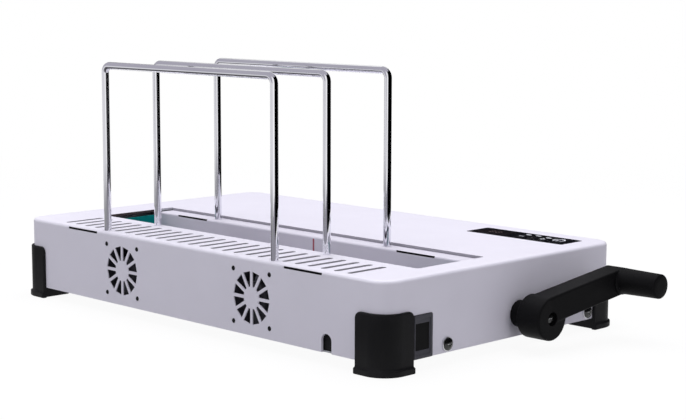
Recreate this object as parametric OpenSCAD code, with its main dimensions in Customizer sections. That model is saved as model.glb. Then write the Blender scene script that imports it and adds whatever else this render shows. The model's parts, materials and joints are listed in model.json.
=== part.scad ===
// Thermal binding machine: a flat casing with a heated trough, a clamp plate that a side crank
// slides across it, three wire rests for bound books and two fans that cool them.
// X runs along the trough, with the crank on the +X side. Y runs from the fan wall to the
// control panel. Z is up and the feet stand on Z zero. All lengths are in millimetres.

/* [Casing] */
// Length of the casing, along the trough
case_l = 538; // [530:1:570]
// Depth of the casing, from the fan wall to the operator's side
case_d = 326; // [310:1:360]
// Height of the casing, without the feet
case_h = 73; // [73:0.5:84]
// Wall thickness of the casing
case_wall = 2.5; // [2:0.1:3]
// Radius of the casing's upright corners
corner_r = 19; // [15:0.5:22]
// Rounding along the casing's top edge
edge_r = 3.5; // [2:0.1:4]

/* [Trough] */
// Share of the depth that the vented strip takes
strip_share = 0.21472; // [0.205:0.001:0.22]
// Share of the depth that the trough's opening takes
trough_share = 0.27914; // [0.27:0.001:0.29]
// Distance from the left end of the casing to the opening
trough_left = 47; // [44:0.5:52]
// Distance from the right end of the casing to the opening
trough_right = 27.5; // [26:0.5:34]
// Depth of the heated floor below the top of the casing
trough_depth = 53; // [50:0.5:53]
// Distance from the opening's near edge to the back of the fixed jaw
jaw_set = 15; // [13:0.5:16]
// Thickness of the jaw and of the clamp plate
plate_t = 3; // [2.5:0.1:3.2]

/* [Clamp] */
// Clamp flange seen in the open trough, measured from its far edge
clamp_show = 17; // [17:0.25:20]
// Gap between the clamp's flange and the underside of the casing's top
clamp_gap = 0.4; // [0.3:0.1:1.5]
// Teeth on each pinion
pinion_teeth = 24; // [20:1:28]
// Gap left between the jaw and the closed clamp
closed_gap = 3.2; // [3:0.1:10]
// Height of the crank shaft above the casing's underside
shaft_z = 21.6; // [21.4:0.1:22.6]

/* [Crank] */
// Radius of the crank shaft
shaft_r = 6; // [5:0.25:6.5]
// Radius of the hub
hub_r = 20.3; // [18:0.1:20.5]
// Radius of the hand grip
grip_r = 12.5; // [11:0.25:13]
// Run of the arm from the shaft to the grip
arm_run = 103; // [85:1:105]
// Reach of the grip's end beyond the casing
grip_reach = 87.5; // [74:0.5:96]

/* [Rests and feet] */
// Diameter of the rests' wire
wire_d = 7.4; // [6:0.2:8]
// Height of the rests above the casing
rest_h = 172; // [120:1:200]
// Distance between the legs of a rest
rest_w = 254; // [230:1:270]
// Height of the feet below the casing
foot_h = 11; // [8:0.5:14]
// Length of a foot's legs along the walls
foot_leg = 34; // [30:0.5:35]
// Height that a foot climbs up the walls
foot_rise = 44; // [36:0.5:48]

/* [Fans and vents] */
// Side of a fan's square frame
fan_w = 60; // [58:0.5:60]
// Depth of a fan
fan_depth = 25; // [20:0.5:25]
// Distance between a fan's screws
fan_pitch = 50; // [48:0.5:51]
// Number of cooling slots in the strip
vent_n = 26; // [16:1:30]
// Width of a cooling slot
vent_w = 6; // [3:0.1:7]

/* [Hidden] */
$fn = 48;
over = 1;            // overrun of every cut
gap = 0.3;           // gap between pieces that pass or sit loosely
run_fit = 0.05;      // radial clearance of a turning shaft or a sliding rod

// Casing and base pan
in_x = case_l / 2 - case_wall;
in_y = case_d / 2 - case_wall;
lid_z = case_h - case_wall;
pan_t = 1.5;
pan_gap = 0.2;
rim_h = 11;
rim_t = 1.5;
side_slot_l = 50;    // dark bending slots under the top edge of the fan wall
side_slot_h = 2.2;
side_slot_deep = 1.6;
side_slot_drop = 1.8;
side_slot_x = 141.5; // from the middle to the slot's inner end
notch_w = 13;
notch_h = 17.5;
notch_from_end = 71.6;
notch_x = case_l / 2 - notch_from_end;
notch_t = 2;
notch_inset = 0.6;
floor_slot_n = 9;
floor_slot_l = 60;
floor_slot_w = 4;
floor_slot_pitch = 12;

// Screws
screw_r = 2;
screw_slack = 0.2;
screw_head_r = 6;
screw_head_h = 2.4;
screw_l = 7;
washer_r = 6.5;          // thick washers under the end walls' screws
washer_t = 2;
cross_l = 5.2;
cross_w = 1.1;
cross_deep = 1.3;
head_taper = 0.7;
side_screw_z = 8;
side_screw_near = 78.7;  // from the fan wall to the nearer side screw
side_screw_far = 43.5;   // from the operator's wall to the farther one

// Trough, jaw and heater
trough_x0 = -case_l / 2 + trough_left;
trough_x1 = case_l / 2 - trough_right;
trough_xm = (trough_x0 + trough_x1) / 2;
trough_l = trough_x1 - trough_x0;
strip_w = case_d * strip_share;
trough_w = case_d * trough_share;
trough_y0 = -case_d / 2 + strip_w;
trough_y1 = trough_y0 + trough_w;
trough_r = 3;
floor_z = case_h - trough_depth;
side_gap = 3;            // from the opening's ends to the clamp and jaw
end_t = 2.5;
end_top = 6;             // top of the end guides below the casing's top
jaw_y = trough_y0 + jaw_set;
jaw_top = 7;             // top of the jaw below the casing's top
jaw_lip_gap = 0.6;
heater_t = 4.5;
element_t = 2.5;
element_w = 27;
board_t = 5;
heater_gap = 2;          // from the heated floor up to the clamp's lower edge
post_r = 5;
post_neck_r = 3;
post_n = 3;
thermostat_r = 8;
thermostat_h = 8;

// Clamp, racks and rods
clamp_x0 = trough_x0 + side_gap;
clamp_x1 = trough_x1 - side_gap;
clamp_y = trough_y1 - clamp_show;
clamp_back = clamp_y + plate_t;
clamp_z = lid_z - clamp_gap;
clamp_low = floor_z + heater_gap;
pinion_gap = 0.6;        // from the pinion down to the pan
outer_r = shaft_z - pan_t - pinion_gap;
pitch_r = outer_r * pinion_teeth / (pinion_teeth + 2);
gear_module = 2 * pitch_r / pinion_teeth;
travel = clamp_y - jaw_y - plate_t - closed_gap;
crank_swing = travel / pitch_r * 180 / PI;
flange_past = 18;        // flange still under the casing when the clamp is closed
flange_far = trough_y1 + travel + flange_past;
clamp_slot_l = 50;
clamp_slot_x = 141.75;
clamp_slot_shift = 2.75;
clamp_slot_drop = 0.5;
clamp_slot_h = 2;
rack_inset = 36;
rack_w = 8;
rack_back = 8.4;         // solid height of a rack above its pitch line
rack_start = 8;
rack_lug_w = 14;
rack_lug_t = 3;
rod_inset = 70;
rod_r = 5;
rod_rise = 24.4;         // from the shaft up to the rods
rod_z = shaft_z + rod_rise;
rod_past = 83;
rod_l = travel + rod_past;
bush_wall = 2;
bracket_w = 22;
bracket_t = 12;
bracket_far = 62;        // from the back of the clamp to the far brackets
bracket_near = 5;        // from the back of the clamp to the near brackets
bracket_cap = 3;
rack_x0 = clamp_x0 + rack_inset;
rack_x1 = clamp_x1 - rack_inset;
rod_x0 = clamp_x0 + rod_inset;
rod_x1 = clamp_x1 - rod_inset;

// Shaft and crank; lengths along X start at the casing's right wall
shaft_set = 17.4;        // from the opening's far edge to the shaft
shaft_y = trough_y1 + shaft_set;
bearing_off = 17;
bearing_w = 12;
bearing_half = 13;
bearing_cap = 5;
shaft_tail = 4;
collar_r = 12.5;
collar_t = 13.2;
bush_r = 9;
nut_t = 5;
nut_r = 12;
hub_x0 = collar_t + gap;
hub_x1 = 40;
hub_chamfer = 1.6;
shaft_out = 34;
arm_tilt = 8.8;
arm_in_hub = 17.5;       // inner face of the arm at the hub
arm_in_tip = 25;         // inner face of the arm at the grip
arm_out = 46.5;          // outer face of the arm at the grip
seat_r = 6.5;
seat_deep = 4;
crank_screw_l = 14;
crank_screw_r = 2.5;
grip_round = 2.5;
grip_neck = 0.9;
tooth_play = 0.1;        // thinning of each tooth at the pitch line
pressure_angle = 20;
root_share = 1.25;       // tooth depth below the pitch line, in modules

// Rests
rest_rear_shift = -4.6;  // places of the rests along the trough, from the casing's middle
rest_mid_shift = 3;
rest_clamp_shift = -2;
rest_rear_in = 6.8;      // from the fan wall
rest_mid_in = 4.5;       // from the trough's near edge
rest_clamp_in = 8;       // from the face of the clamp
rest_rear_y = -case_d / 2 + rest_rear_in;
rest_mid_y = trough_y0 - rest_mid_in;
rest_clamp_y = clamp_y + rest_clamp_in;
bend_r = 7.5;
nut_h = 4;
rest_nut_r = 4.8;
thread_past = 0.2;

// Feet
foot_proud = 3;
foot_flare = 2;
flare_h = 5.5;
foot_round = 6;
foot_head_r = 4.6;
foot_head_deep = 3;
boss_h = 8;
boss_r = 5.5;

// Fans; the grille is cut in the fan wall
fan_gap = 98.75;
fan_shift = -1.3;
fan_x0 = fan_shift - fan_gap;
fan_x1 = fan_shift + fan_gap;
fan_z = 35.6;
grille_r = 25.4;
grille_hub_r = 10.5;
grille_spoke = 3;
grille_n = 12;
fan_bore_r = 28.2;
rotor_r = 27.4;
rotor_hub_r = 14;
rotor_front = 3;         // from the grille to the rotor
rotor_depth = 17;
motor_r = 13;
motor_t = 3;
spindle_r = 1.5;
strut_w = 3;
blade_n = 7;
blade_t = 1.2;
blade_chord = 17;
blade_angle = 48;
fan_screw_r = 1.9;
fan_screw_l = 9;
fan_head_r = 2.4;
fan_head_h = 0.5;
vent_l_share = 0.6614;   // shares of the strip's width
vent_in_share = 0.2143;
baffle_share = 0.157;
vent_l = strip_w * vent_l_share;
vent_far = strip_w * vent_in_share;
vent_end_left = 62.5;    // from the ends of the casing to the first and last slot
vent_end_right = 53;
vent_x0 = -case_l / 2 + vent_end_left;
vent_x1 = case_l / 2 - vent_end_right;
baffle_t = 1;
baffle_foot = 6.5;
baffle_y = trough_y0 - strip_w * baffle_share;
baffle_top = 8;          // top of the baffle below the casing's top

// Power inlet
inlet_w = 23.4;
inlet_h = 38.6;
inlet_share = 0.6743;    // share of the strip's width
inlet_y = -case_d / 2 + strip_w * inlet_share;
inlet_z = 19.7;
bezel_t = 1.6;
bezel_step = 3.4;
step_deep = 0.8;
inlet_body_w = 20.6;
inlet_body_h = 31;
inlet_deep = 25;
socket_w = 16.5;
socket_h = 24;
socket_deep = 17;
socket_cut = 4.2;
pin_w = 4;
pin_t = 2;
pin_l = 12;
pin_spread = 7;
pin_offset = 2;
tab_l = 8;
loom_r = 2.4;
loom_x = 28;             // from the loom to the left inner wall

// Control panel, keys and boards
panel_w = 122;
panel_h = 34.4;
panel_from_end = 83;
panel_from_edge = 39.8;
panel_x = case_l / 2 - panel_from_end;
panel_y = case_d / 2 - panel_from_edge;
panel_t = 1.4;
panel_sunk = 1.2;
panel_lip = 3;
panel_r = 2;
window_w = 40;
window_h = 22;
window_x = -36;
key_r = 5;
key_power_r = 7.6;
key_proud = 0.2;
key_travel = 0.8;
key_col = [0.5, 13.8, 27.1, 44];     // places across the panel of the four keys
key_row = [-3.5, -3.5, -3.5, 1.8];
key_stem_r = 2.2;
key_flange = 1.2;
key_flange_t = 1;
cb_w = 116;
cb_d = 41;
cb_t = 1.6;
cb_drop = 13;            // board's top below the casing's top
switch_w = 6;
switch_gap = 0.1;
cb_post_r = 3;
cb_inset = 4;
pb_w = 92;
pb_d = 74;
pb_t = 1.6;
pb_x = 0;
pb_y = (shaft_y + shaft_r + in_y) / 2;
pb_h = 7;
pb_post_r = 3;
pb_inset = 6;
core_w = 34;
core_d = 30;
core_h = 28;
cap_r = 9;
cap_h = 26;
relay_w = 20;
relay_d = 16;
relay_h = 18;
term_w = 28;
term_d = 10;
term_h = 11;
part_gap = 1;

// Places shared by everything, worked out so that the bounding box is centred on the origin
reach_left = foot_proud + foot_flare;
shift_x = -(grip_reach - reach_left) / 2;

module place() translate([shift_x, 0, foot_h]) children();
module at_shaft() place() translate([case_l / 2, shaft_y, shaft_z]) rotate([0, 90, 0]) children();
module along_y() rotate([-90, 0, 0]) children();
module along_x() rotate([0, 90, 0]) children();

// A block from its lower corner to its upper corner
module block(a, b) translate(a) cube(b - a);

// An upright slab with round corners, centred on the origin
module round_slab(l, d, h, r) {
    translate([-l / 2 + r, -d / 2, 0]) cube([l - 2 * r, d, h]);
    translate([-l / 2, -d / 2 + r, 0]) cube([l, d - 2 * r, h]);
    for (sx = [-1, 1], sy = [-1, 1])
        translate([sx * (l / 2 - r), sy * (d / 2 - r), 0]) cylinder(r = r, h = h);
}

// The casing's outside: round upright corners and a rounded top edge
module soft_slab(l, d, h, r, e) {
    round_slab(l, d, h - e, r);
    round_slab(l - 2 * e, d - 2 * e, h, r - e);
    for (s = [-1, 1]) {
        translate([-l / 2 + r, s * (d / 2 - e), h - e]) along_x() cylinder(r = e, h = l - 2 * r);
        translate([s * (l / 2 - e), -d / 2 + r, h - e]) along_y() cylinder(r = e, h = d - 2 * r);
    }
    for (sx = [-1, 1], sy = [-1, 1])
        translate([sx * (l / 2 - r), sy * (d / 2 - r), h - e])
            rotate_extrude() translate([r - e, 0]) circle(e, $fn = 32);
}

// A slot with round ends along Y
module y_slot(l, w, h) {
    translate([-w / 2, -l / 2 + w / 2, 0]) cube([w, l - w, h]);
    for (s = [-1, 1]) translate([0, s * (l / 2 - w / 2), 0]) cylinder(d = w, h = h, $fn = 24);
}

// Twelve wedges around a solid hub: the openings of a fan grille, along +Z
module grille_cut(h) {
    difference() {
        rotate(180 / grille_n) cylinder(r = grille_r, h = h, $fn = grille_n);
        translate([0, 0, -over]) cylinder(r = grille_hub_r, h = h + 2 * over);
        for (i = [0:grille_n - 1])
            rotate(i * 360 / grille_n)
                translate([0, -grille_spoke / 2, -over]) cube([2 * grille_r, grille_spoke, h + 2 * over]);
    }
}

// A pan-headed screw along -Z, its head standing on Z zero, with a cross recess
module cross_screw(r, l, head_r, head_h) {
    difference() {
        union() {
            translate([0, 0, -l]) cylinder(r = r, h = l, $fn = 24);
            cylinder(r = head_r, h = head_h / 2, $fn = 32);
            translate([0, 0, head_h / 2])
                cylinder(r1 = head_r, r2 = head_r * head_taper, h = head_h / 2, $fn = 32);
        }
        for (a = [0, 90])
            rotate(a) translate([-cross_l / 2, -cross_w / 2, head_h - cross_deep])
                cube([cross_l, cross_w, cross_deep + over]);
    }
}

// Places that several pieces share
module at_fans() for (x = [fan_x0, fan_x1]) translate([x, 0, fan_z]) children();
module at_fan_screws() at_fans() for (sx = [-1, 1], sz = [-1, 1])
    translate([sx * fan_pitch / 2, 0, sz * fan_pitch / 2]) children();
module at_side_screws() for (s = [-1, 1],
    y = [-case_d / 2 + side_screw_near, case_d / 2 - side_screw_far])
        translate([s * case_l / 2, y, side_screw_z]) rotate([0, s * 90, 0]) children();
function rest_shift(y) = y == rest_rear_y ? rest_rear_shift
    : y == rest_mid_y ? rest_mid_shift : rest_clamp_shift;
module at_rest_legs(y) for (s = [-1, 1]) translate([rest_shift(y) + s * rest_w / 2, y, 0]) children();
module at_keys() for (i = [0:len(key_col) - 1])
    translate([panel_x + key_col[i], panel_y + key_row[i], 0]) children();
module at_corners() for (sx = [-1, 1], sy = [-1, 1])
    translate([sx * (case_l / 2 - corner_r), sy * (case_d / 2 - corner_r), 0]) children();

module top_casing() color("white") place() difference() {
    soft_slab(case_l, case_d, case_h, corner_r, edge_r);
    translate([0, 0, -over]) round_slab(2 * in_x, 2 * in_y, lid_z + over, corner_r - case_wall);
    translate([trough_xm, (trough_y0 + trough_y1) / 2, lid_z - over])
        round_slab(trough_l, trough_w, case_wall + 2 * over, trough_r);
    for (i = [0:vent_n - 1])
        translate([vent_x0 + i * (vent_x1 - vent_x0) / (vent_n - 1), trough_y0 - vent_far - vent_l / 2,
            lid_z - over])
            y_slot(vent_l, vent_w, case_wall + 2 * over);
    at_fans() translate([0, -case_d / 2 - over, 0]) along_y() grille_cut(case_wall + 2 * over);
    at_fan_screws() translate([0, -case_d / 2 - over, 0]) along_y()
        cylinder(r = fan_screw_r + screw_slack, h = case_wall + 2 * over, $fn = 24);
    for (y = [rest_rear_y, rest_mid_y]) at_rest_legs(y) translate([0, 0, lid_z - over])
        cylinder(d = wire_d, h = case_wall + 2 * over);
    for (s = [-1, 1])
        block([s * side_slot_x + min(0, s * side_slot_l), -case_d / 2 - over,
            case_h - side_slot_drop - side_slot_h],
            [s * side_slot_x + max(0, s * side_slot_l), -case_d / 2 + side_slot_deep,
                case_h - side_slot_drop]);
    block([notch_x - notch_w / 2, -case_d / 2 - over, -over],
        [notch_x + notch_w / 2, -in_y + over, notch_h - notch_w / 2]);
    translate([notch_x, -case_d / 2 - over, notch_h - notch_w / 2]) along_y()
        cylinder(d = notch_w, h = case_wall + 2 * over);
    block([in_x - over, inlet_y - inlet_body_w / 2, inlet_z - inlet_body_h / 2],
        [case_l / 2 + over, inlet_y + inlet_body_w / 2, inlet_z + inlet_body_h / 2]);
    translate([in_x - over, shaft_y, shaft_z]) along_x() cylinder(r = bush_r, h = case_wall + 2 * over);
    at_side_screws() translate([0, 0, -case_wall - over])
        cylinder(r = screw_r + screw_slack, h = case_wall + 2 * over, $fn = 24);
    translate([panel_x, panel_y, case_h - panel_sunk])
        round_slab(panel_w, panel_h, panel_sunk + over, panel_r);
    translate([panel_x, panel_y, lid_z - over])
        round_slab(panel_w - 2 * panel_lip, panel_h - 2 * panel_lip, case_wall, panel_r);
}

module base_pan() color("gainsboro") place() difference() {
    union() {
        round_slab(2 * (in_x - pan_gap), 2 * (in_y - pan_gap), pan_t, corner_r - case_wall);
        difference() {
            round_slab(2 * (in_x - pan_gap), 2 * (in_y - pan_gap), rim_h, corner_r - case_wall);
            translate([0, 0, -over]) round_slab(2 * (in_x - pan_gap - rim_t), 2 * (in_y - pan_gap - rim_t),
                rim_h + 2 * over, corner_r - case_wall - rim_t);
            at_fans() block([-fan_w / 2 - gap, -case_d / 2, -fan_z + pan_t],
                [fan_w / 2 + gap, -in_y + 2 * rim_t, rim_h]);
            block([notch_x - notch_w / 2 - notch_t - gap, -case_d / 2, pan_t],
                [notch_x + notch_w / 2 + notch_t + gap, -in_y + 2 * rim_t, rim_h + over]);
            block([in_x - 2 * rim_t, inlet_y - inlet_body_w / 2 - gap, pan_t],
                [case_l / 2, inlet_y + inlet_body_w / 2 + gap, rim_h + over]);
        }
        at_corners() cylinder(r = boss_r, h = boss_h);
    }
    at_corners() translate([0, 0, -over]) cylinder(r = screw_r, h = boss_h + 2 * over, $fn = 24);
    at_side_screws() translate([0, 0, -case_wall - pan_gap - rim_t - over])
        cylinder(r = screw_r, h = rim_t + 2 * over, $fn = 24);
    for (sx = [-1, 1], i = [0:floor_slot_n - 1])
        translate([sx * (case_l / 4) + (i - (floor_slot_n - 1) / 2) * floor_slot_pitch,
            case_d / 2 - floor_slot_l, -over])
            y_slot(floor_slot_l, floor_slot_w, pan_t + 2 * over);
}

// One rubber foot at the corner with the signs sx and sy; it wraps both walls
module foot(sx, sy) color([0.1, 0.1, 0.11]) place() mirror([sx < 0 ? 1 : 0, 0, 0])
    mirror([0, sy < 0 ? 1 : 0, 0])
    difference() {
        union() {
            intersection() {
                translate([0, 0, -foot_h]) round_slab(case_l + 2 * foot_proud, case_d + 2 * foot_proud,
                    foot_h + foot_rise, corner_r + foot_proud);
                foot_region();
            }
            intersection() {
                translate([0, 0, -foot_h]) round_slab(case_l + 2 * reach_left, case_d + 2 * reach_left,
                    flare_h, corner_r + reach_left);
                block([case_l / 2 - foot_leg, case_d / 2 - foot_leg, -foot_h - over],
                    [case_l / 2 + foot_leg, case_d / 2 + foot_leg, over]);
            }
        }
        round_slab(case_l, case_d, foot_rise + over, corner_r);
        translate([case_l / 2 - corner_r, case_d / 2 - corner_r, -foot_h - over]) {
            cylinder(r = screw_r + screw_slack, h = foot_h + 2 * over, $fn = 24);
            cylinder(r = foot_head_r + screw_slack, h = foot_head_deep + over);
        }
    }

// What a foot may fill: the square pad below and two legs with round upper ends
module foot_region() {
    hi = foot_leg + corner_r;
    block([case_l / 2 - foot_leg, case_d / 2 - foot_leg, -foot_h - over],
        [case_l / 2 + hi, case_d / 2 + hi, over]);
    block([case_l / 2 - corner_r, case_d / 2 - corner_r, -foot_h],
        [case_l / 2 + hi, case_d / 2 + hi, foot_rise + over]);
    block([case_l / 2 - foot_leg, case_d / 2 - corner_r, -foot_h],
        [case_l / 2, case_d / 2 + hi, foot_rise - foot_round]);
    block([case_l / 2 - foot_leg + foot_round, case_d / 2 - corner_r, 0],
        [case_l / 2, case_d / 2 + hi, foot_rise + over]);
    translate([case_l / 2 - foot_leg + foot_round, case_d / 2 - corner_r, foot_rise - foot_round]) along_y()
        cylinder(r = foot_round, h = corner_r + hi);
    block([case_l / 2 - corner_r, case_d / 2 - foot_leg, -foot_h],
        [case_l / 2 + hi, case_d / 2, foot_rise - foot_round]);
    block([case_l / 2 - corner_r, case_d / 2 - foot_leg + foot_round, 0],
        [case_l / 2 + hi, case_d / 2, foot_rise + over]);
    translate([case_l / 2 - corner_r, case_d / 2 - foot_leg + foot_round, foot_rise - foot_round]) along_x()
        cylinder(r = foot_round, h = corner_r + hi);
}
module foot_fan_left() foot(-1, -1);
module foot_fan_right() foot(1, -1);
module foot_panel_left() foot(-1, 1);
module foot_panel_right() foot(1, 1);

module foot_screws() color("dimgray") place() at_corners()
    translate([0, 0, -foot_h + foot_head_deep]) rotate([180, 0, 0])
        cross_screw(screw_r, foot_h - foot_head_deep + boss_h - over, foot_head_r, screw_head_h);

module casing_screws() color([0.08, 0.08, 0.09]) place() at_side_screws() {
    translate([0, 0, washer_t]) cross_screw(screw_r, screw_l + washer_t, screw_head_r, screw_head_h);
    cylinder(r = washer_r, h = washer_t, $fn = 32);
}

// A rest: two legs and a rail with round bends, its legs ending at leg_z
module rest_bar(y, leg_z) place() {
    w = rest_w;
    rail_z = case_h + rest_h - wire_d / 2;
    at_rest_legs(y) translate([0, 0, leg_z]) cylinder(d = wire_d, h = rail_z - bend_r - leg_z, $fn = 32);
    translate([rest_shift(y) - w / 2 + bend_r, y, rail_z]) along_x()
        cylinder(d = wire_d, h = w - 2 * bend_r, $fn = 32);
    for (s = [0, 1])
        translate([rest_shift(y) + (2 * s - 1) * (w / 2 - bend_r), y, rail_z - bend_r])
            mirror([s, 0, 0]) rotate([90, 0, 0]) rotate([0, 0, 90])
                rotate_extrude(angle = 90) translate([bend_r, 0]) circle(d = wire_d, $fn = 32);
}
module rest_bar_rear() color("silver") rest_bar(rest_rear_y, lid_z - nut_h - thread_past);
module rest_bar_middle() color("silver") rest_bar(rest_mid_y, lid_z - nut_h - thread_past);
module rest_bar_clamp() color("silver") rest_bar(rest_clamp_y, clamp_z - plate_t - nut_h - thread_past);

// The round nuts that hold a rest from below
module bar_nut(top) translate([0, 0, top - nut_h]) difference() {
    cylinder(r = rest_nut_r, h = nut_h, $fn = 32);
    translate([0, 0, -over]) cylinder(d = wire_d, h = nut_h + 2 * over, $fn = 32);
}
module rest_bar_nuts() color("silver") place() difference() {
    for (y = [rest_rear_y, rest_mid_y]) at_rest_legs(y) bar_nut(lid_z);
    block([-case_l / 2, -case_d / 2 - over, 0], [case_l / 2, -in_y + run_fit, case_h]);
}
module clamp_bar_nuts() color("silver") place() at_rest_legs(rest_clamp_y) bar_nut(clamp_z - plate_t);

// Rubber edging behind the arched notch in the fan wall
module notch_grommet() color([0.2, 0.2, 0.21]) place() difference() {
    arch(notch_w / 2 + notch_t, -in_y, notch_t);
    arch(notch_w / 2 - notch_inset, -in_y - over, notch_t / 2 + over);
}
module arch(r, y, t) {
    block([notch_x - r, y, pan_t], [notch_x + r, y + t, notch_h - notch_w / 2]);
    translate([notch_x, y, notch_h - notch_w / 2]) along_y() cylinder(r = r, h = t);
}

module fan_frame(x) color([0.12, 0.12, 0.13]) place() translate([x, -in_y, fan_z]) along_y() {
    difference() {
        translate([-fan_w / 2, -fan_w / 2, 0]) cube([fan_w, fan_w, fan_depth]);
        translate([0, 0, -over]) cylinder(r = fan_bore_r, h = fan_depth + 2 * over, $fn = 64);
        for (sx = [-1, 1], sz = [-1, 1]) translate([sx * fan_pitch / 2, sz * fan_pitch / 2, -over])
            cylinder(r = fan_screw_r, h = fan_depth + 2 * over, $fn = 24);
    }
    translate([0, 0, fan_depth - motor_t]) cylinder(r = motor_r, h = motor_t);
    for (a = [45:90:315]) rotate(a)
        translate([motor_r - over, -strut_w / 2, fan_depth - motor_t])
            cube([fan_bore_r - motor_r + 2 * over, strut_w, motor_t]);
    translate([0, 0, rotor_front + rotor_depth / 2])
        cylinder(r = spindle_r, h = fan_depth - motor_t - rotor_front - rotor_depth / 2);
}
module fan_frame_left() fan_frame(fan_x0);
module fan_frame_right() fan_frame(fan_x1);

module fan_rotor(x) color([0.16, 0.16, 0.17]) place() translate([x, -in_y + rotor_front, fan_z]) along_y()
    difference() {
        union() {
            cylinder(r = rotor_hub_r, h = rotor_depth);
            intersection() {
                cylinder(r = rotor_r, h = rotor_depth, $fn = 64);
                for (i = [0:blade_n - 1]) rotate(i * 360 / blade_n)
                    translate([rotor_hub_r - over, 0, rotor_depth / 2]) rotate([blade_angle, 0, 0])
                        translate([0, -blade_t / 2, -blade_chord / 2]) cube([rotor_r, blade_t, blade_chord]);
            }
        }
        translate([0, 0, rotor_depth / 2 - over])
            cylinder(r = spindle_r + run_fit, h = rotor_depth, $fn = 24);
    }
module fan_rotor_left() fan_rotor(fan_x0);
module fan_rotor_right() fan_rotor(fan_x1);

module fan_screws() color([0.07, 0.07, 0.08]) place() at_fan_screws()
    translate([0, -case_d / 2, 0]) rotate([90, 0, 0]) {
        translate([0, 0, -fan_screw_l]) cylinder(r = fan_screw_r, h = fan_screw_l, $fn = 24);
        cylinder(r1 = fan_head_r, r2 = fan_screw_r, h = fan_head_h, $fn = 24);
    }

// A bent sheet behind the fans that turns their air up through the slots
module air_baffle() color("lightgray") place() translate([vent_x0, 0, 0]) {
    l = vent_x1 - vent_x0;
    block([0, baffle_y - baffle_t, pan_t], [l, baffle_y, case_h - baffle_top]);
    block([0, baffle_y - baffle_foot, pan_t], [l, baffle_y, pan_t + baffle_t]);
}

// Fixed jaw: an angle whose face looks across the trough and whose lip covers it on top
module fixed_jaw() color("lightgray") place() {
    block([clamp_x0, jaw_y, element_z()], [clamp_x1, jaw_y + plate_t, case_h - jaw_top]);
    block([clamp_x0, trough_y0 + jaw_lip_gap, case_h - jaw_top - plate_t / 2],
        [clamp_x1, jaw_y + plate_t, case_h - jaw_top]);
}
function element_z() = floor_z - heater_t - element_t;
function board_z() = element_z() - board_t;

// Angle brackets that carry the fixed jaw on the base pan
module jaw_brackets() color("gray") place() for (s = [-1, 0, 1])
    translate([trough_xm + s * trough_l / 3, 0, 0]) {
        block([-bracket_w / 2, jaw_y - plate_t, pan_t], [bracket_w / 2, jaw_y, floor_z + bracket_w]);
        block([-bracket_w / 2, jaw_y - plate_t, pan_t], [bracket_w / 2, jaw_y + plate_t, element_z()]);
    }

module heater_plate() color("silver") place()
    block([clamp_x0, jaw_y + plate_t, floor_z - heater_t], [clamp_x1, clamp_y, floor_z]);
module heating_element() color("darkorange") place()
    translate([trough_xm, (jaw_y + plate_t + clamp_y) / 2, element_z()])
        block([-trough_l / 2 + 2 * bracket_w, -element_w / 2, 0],
            [trough_l / 2 - 2 * bracket_w, element_w / 2, element_t]);

// Posts stand on the pan; their necks pass the insulation board and carry the heated floor
module at_posts() for (i = [0:post_n - 1], s = [-1, 1])
    translate([clamp_x0 + bracket_w + i * (clamp_x1 - clamp_x0 - 2 * bracket_w) / (post_n - 1),
        (jaw_y + plate_t + clamp_y) / 2 + s * (element_w / 2 + post_r), 0]) children();
module heater_posts() color("gray") place() at_posts() {
    translate([0, 0, pan_t]) cylinder(r = post_r, h = board_z() - pan_t);
    translate([0, 0, board_z()]) cylinder(r = post_neck_r, h = board_t + element_t);
}
module insulation_board() color("beige") place() difference() {
    block([clamp_x0, jaw_y + plate_t, board_z()], [clamp_x1, clamp_y, element_z()]);
    at_posts() translate([0, 0, board_z() - over]) cylinder(r = post_neck_r, h = board_t + 2 * over);
    translate([trough_xm, (jaw_y + plate_t + clamp_y) / 2, board_z() - over])
        cylinder(r = thermostat_r + gap, h = board_t + 2 * over);
}
module thermostat() color("dimgray") place()
    translate([trough_xm, (jaw_y + plate_t + clamp_y) / 2, element_z() - thermostat_h])
        cylinder(r = thermostat_r, h = thermostat_h);

module end_guide(x) color("teal") place()
    block([x, trough_y0 + jaw_lip_gap, pan_t], [x + end_t, trough_y1, case_h - end_top]);
module end_guide_left() end_guide(clamp_x0 - gap - end_t);
module end_guide_right() end_guide(clamp_x1 + gap);

// Clamp plate: an upright face and a flange that slides under the casing's top
module clamp_plate() color("gainsboro") place() difference() {
    union() {
        block([clamp_x0, clamp_y, clamp_low], [clamp_x1, clamp_back, clamp_z]);
        block([clamp_x0, clamp_y, clamp_z - plate_t], [clamp_x1, flange_far, clamp_z]);
    }
    at_rest_legs(rest_clamp_y) translate([0, 0, clamp_z - plate_t - over])
        cylinder(d = wire_d, h = plate_t + 2 * over);
    for (s = [-1, 1])
        translate([clamp_slot_shift, 0, clamp_z - clamp_slot_drop])
            block([s * clamp_slot_x + min(0, s * clamp_slot_l), clamp_y - over, -clamp_slot_h],
                [s * clamp_slot_x + max(0, s * clamp_slot_l), clamp_y + side_slot_deep, 0]);
    at_rods() translate([0, clamp_y - over, 0]) along_y()
        cylinder(r = screw_r, h = plate_t + 2 * over, $fn = 24);
    at_rods() translate([0, clamp_y - over, 0]) along_y()
        cylinder(r = screw_head_r, h = screw_head_h / 2 + over, $fn = 32);
}
module at_rods() for (x = [rod_x0, rod_x1]) translate([x, 0, rod_z]) children();

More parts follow.
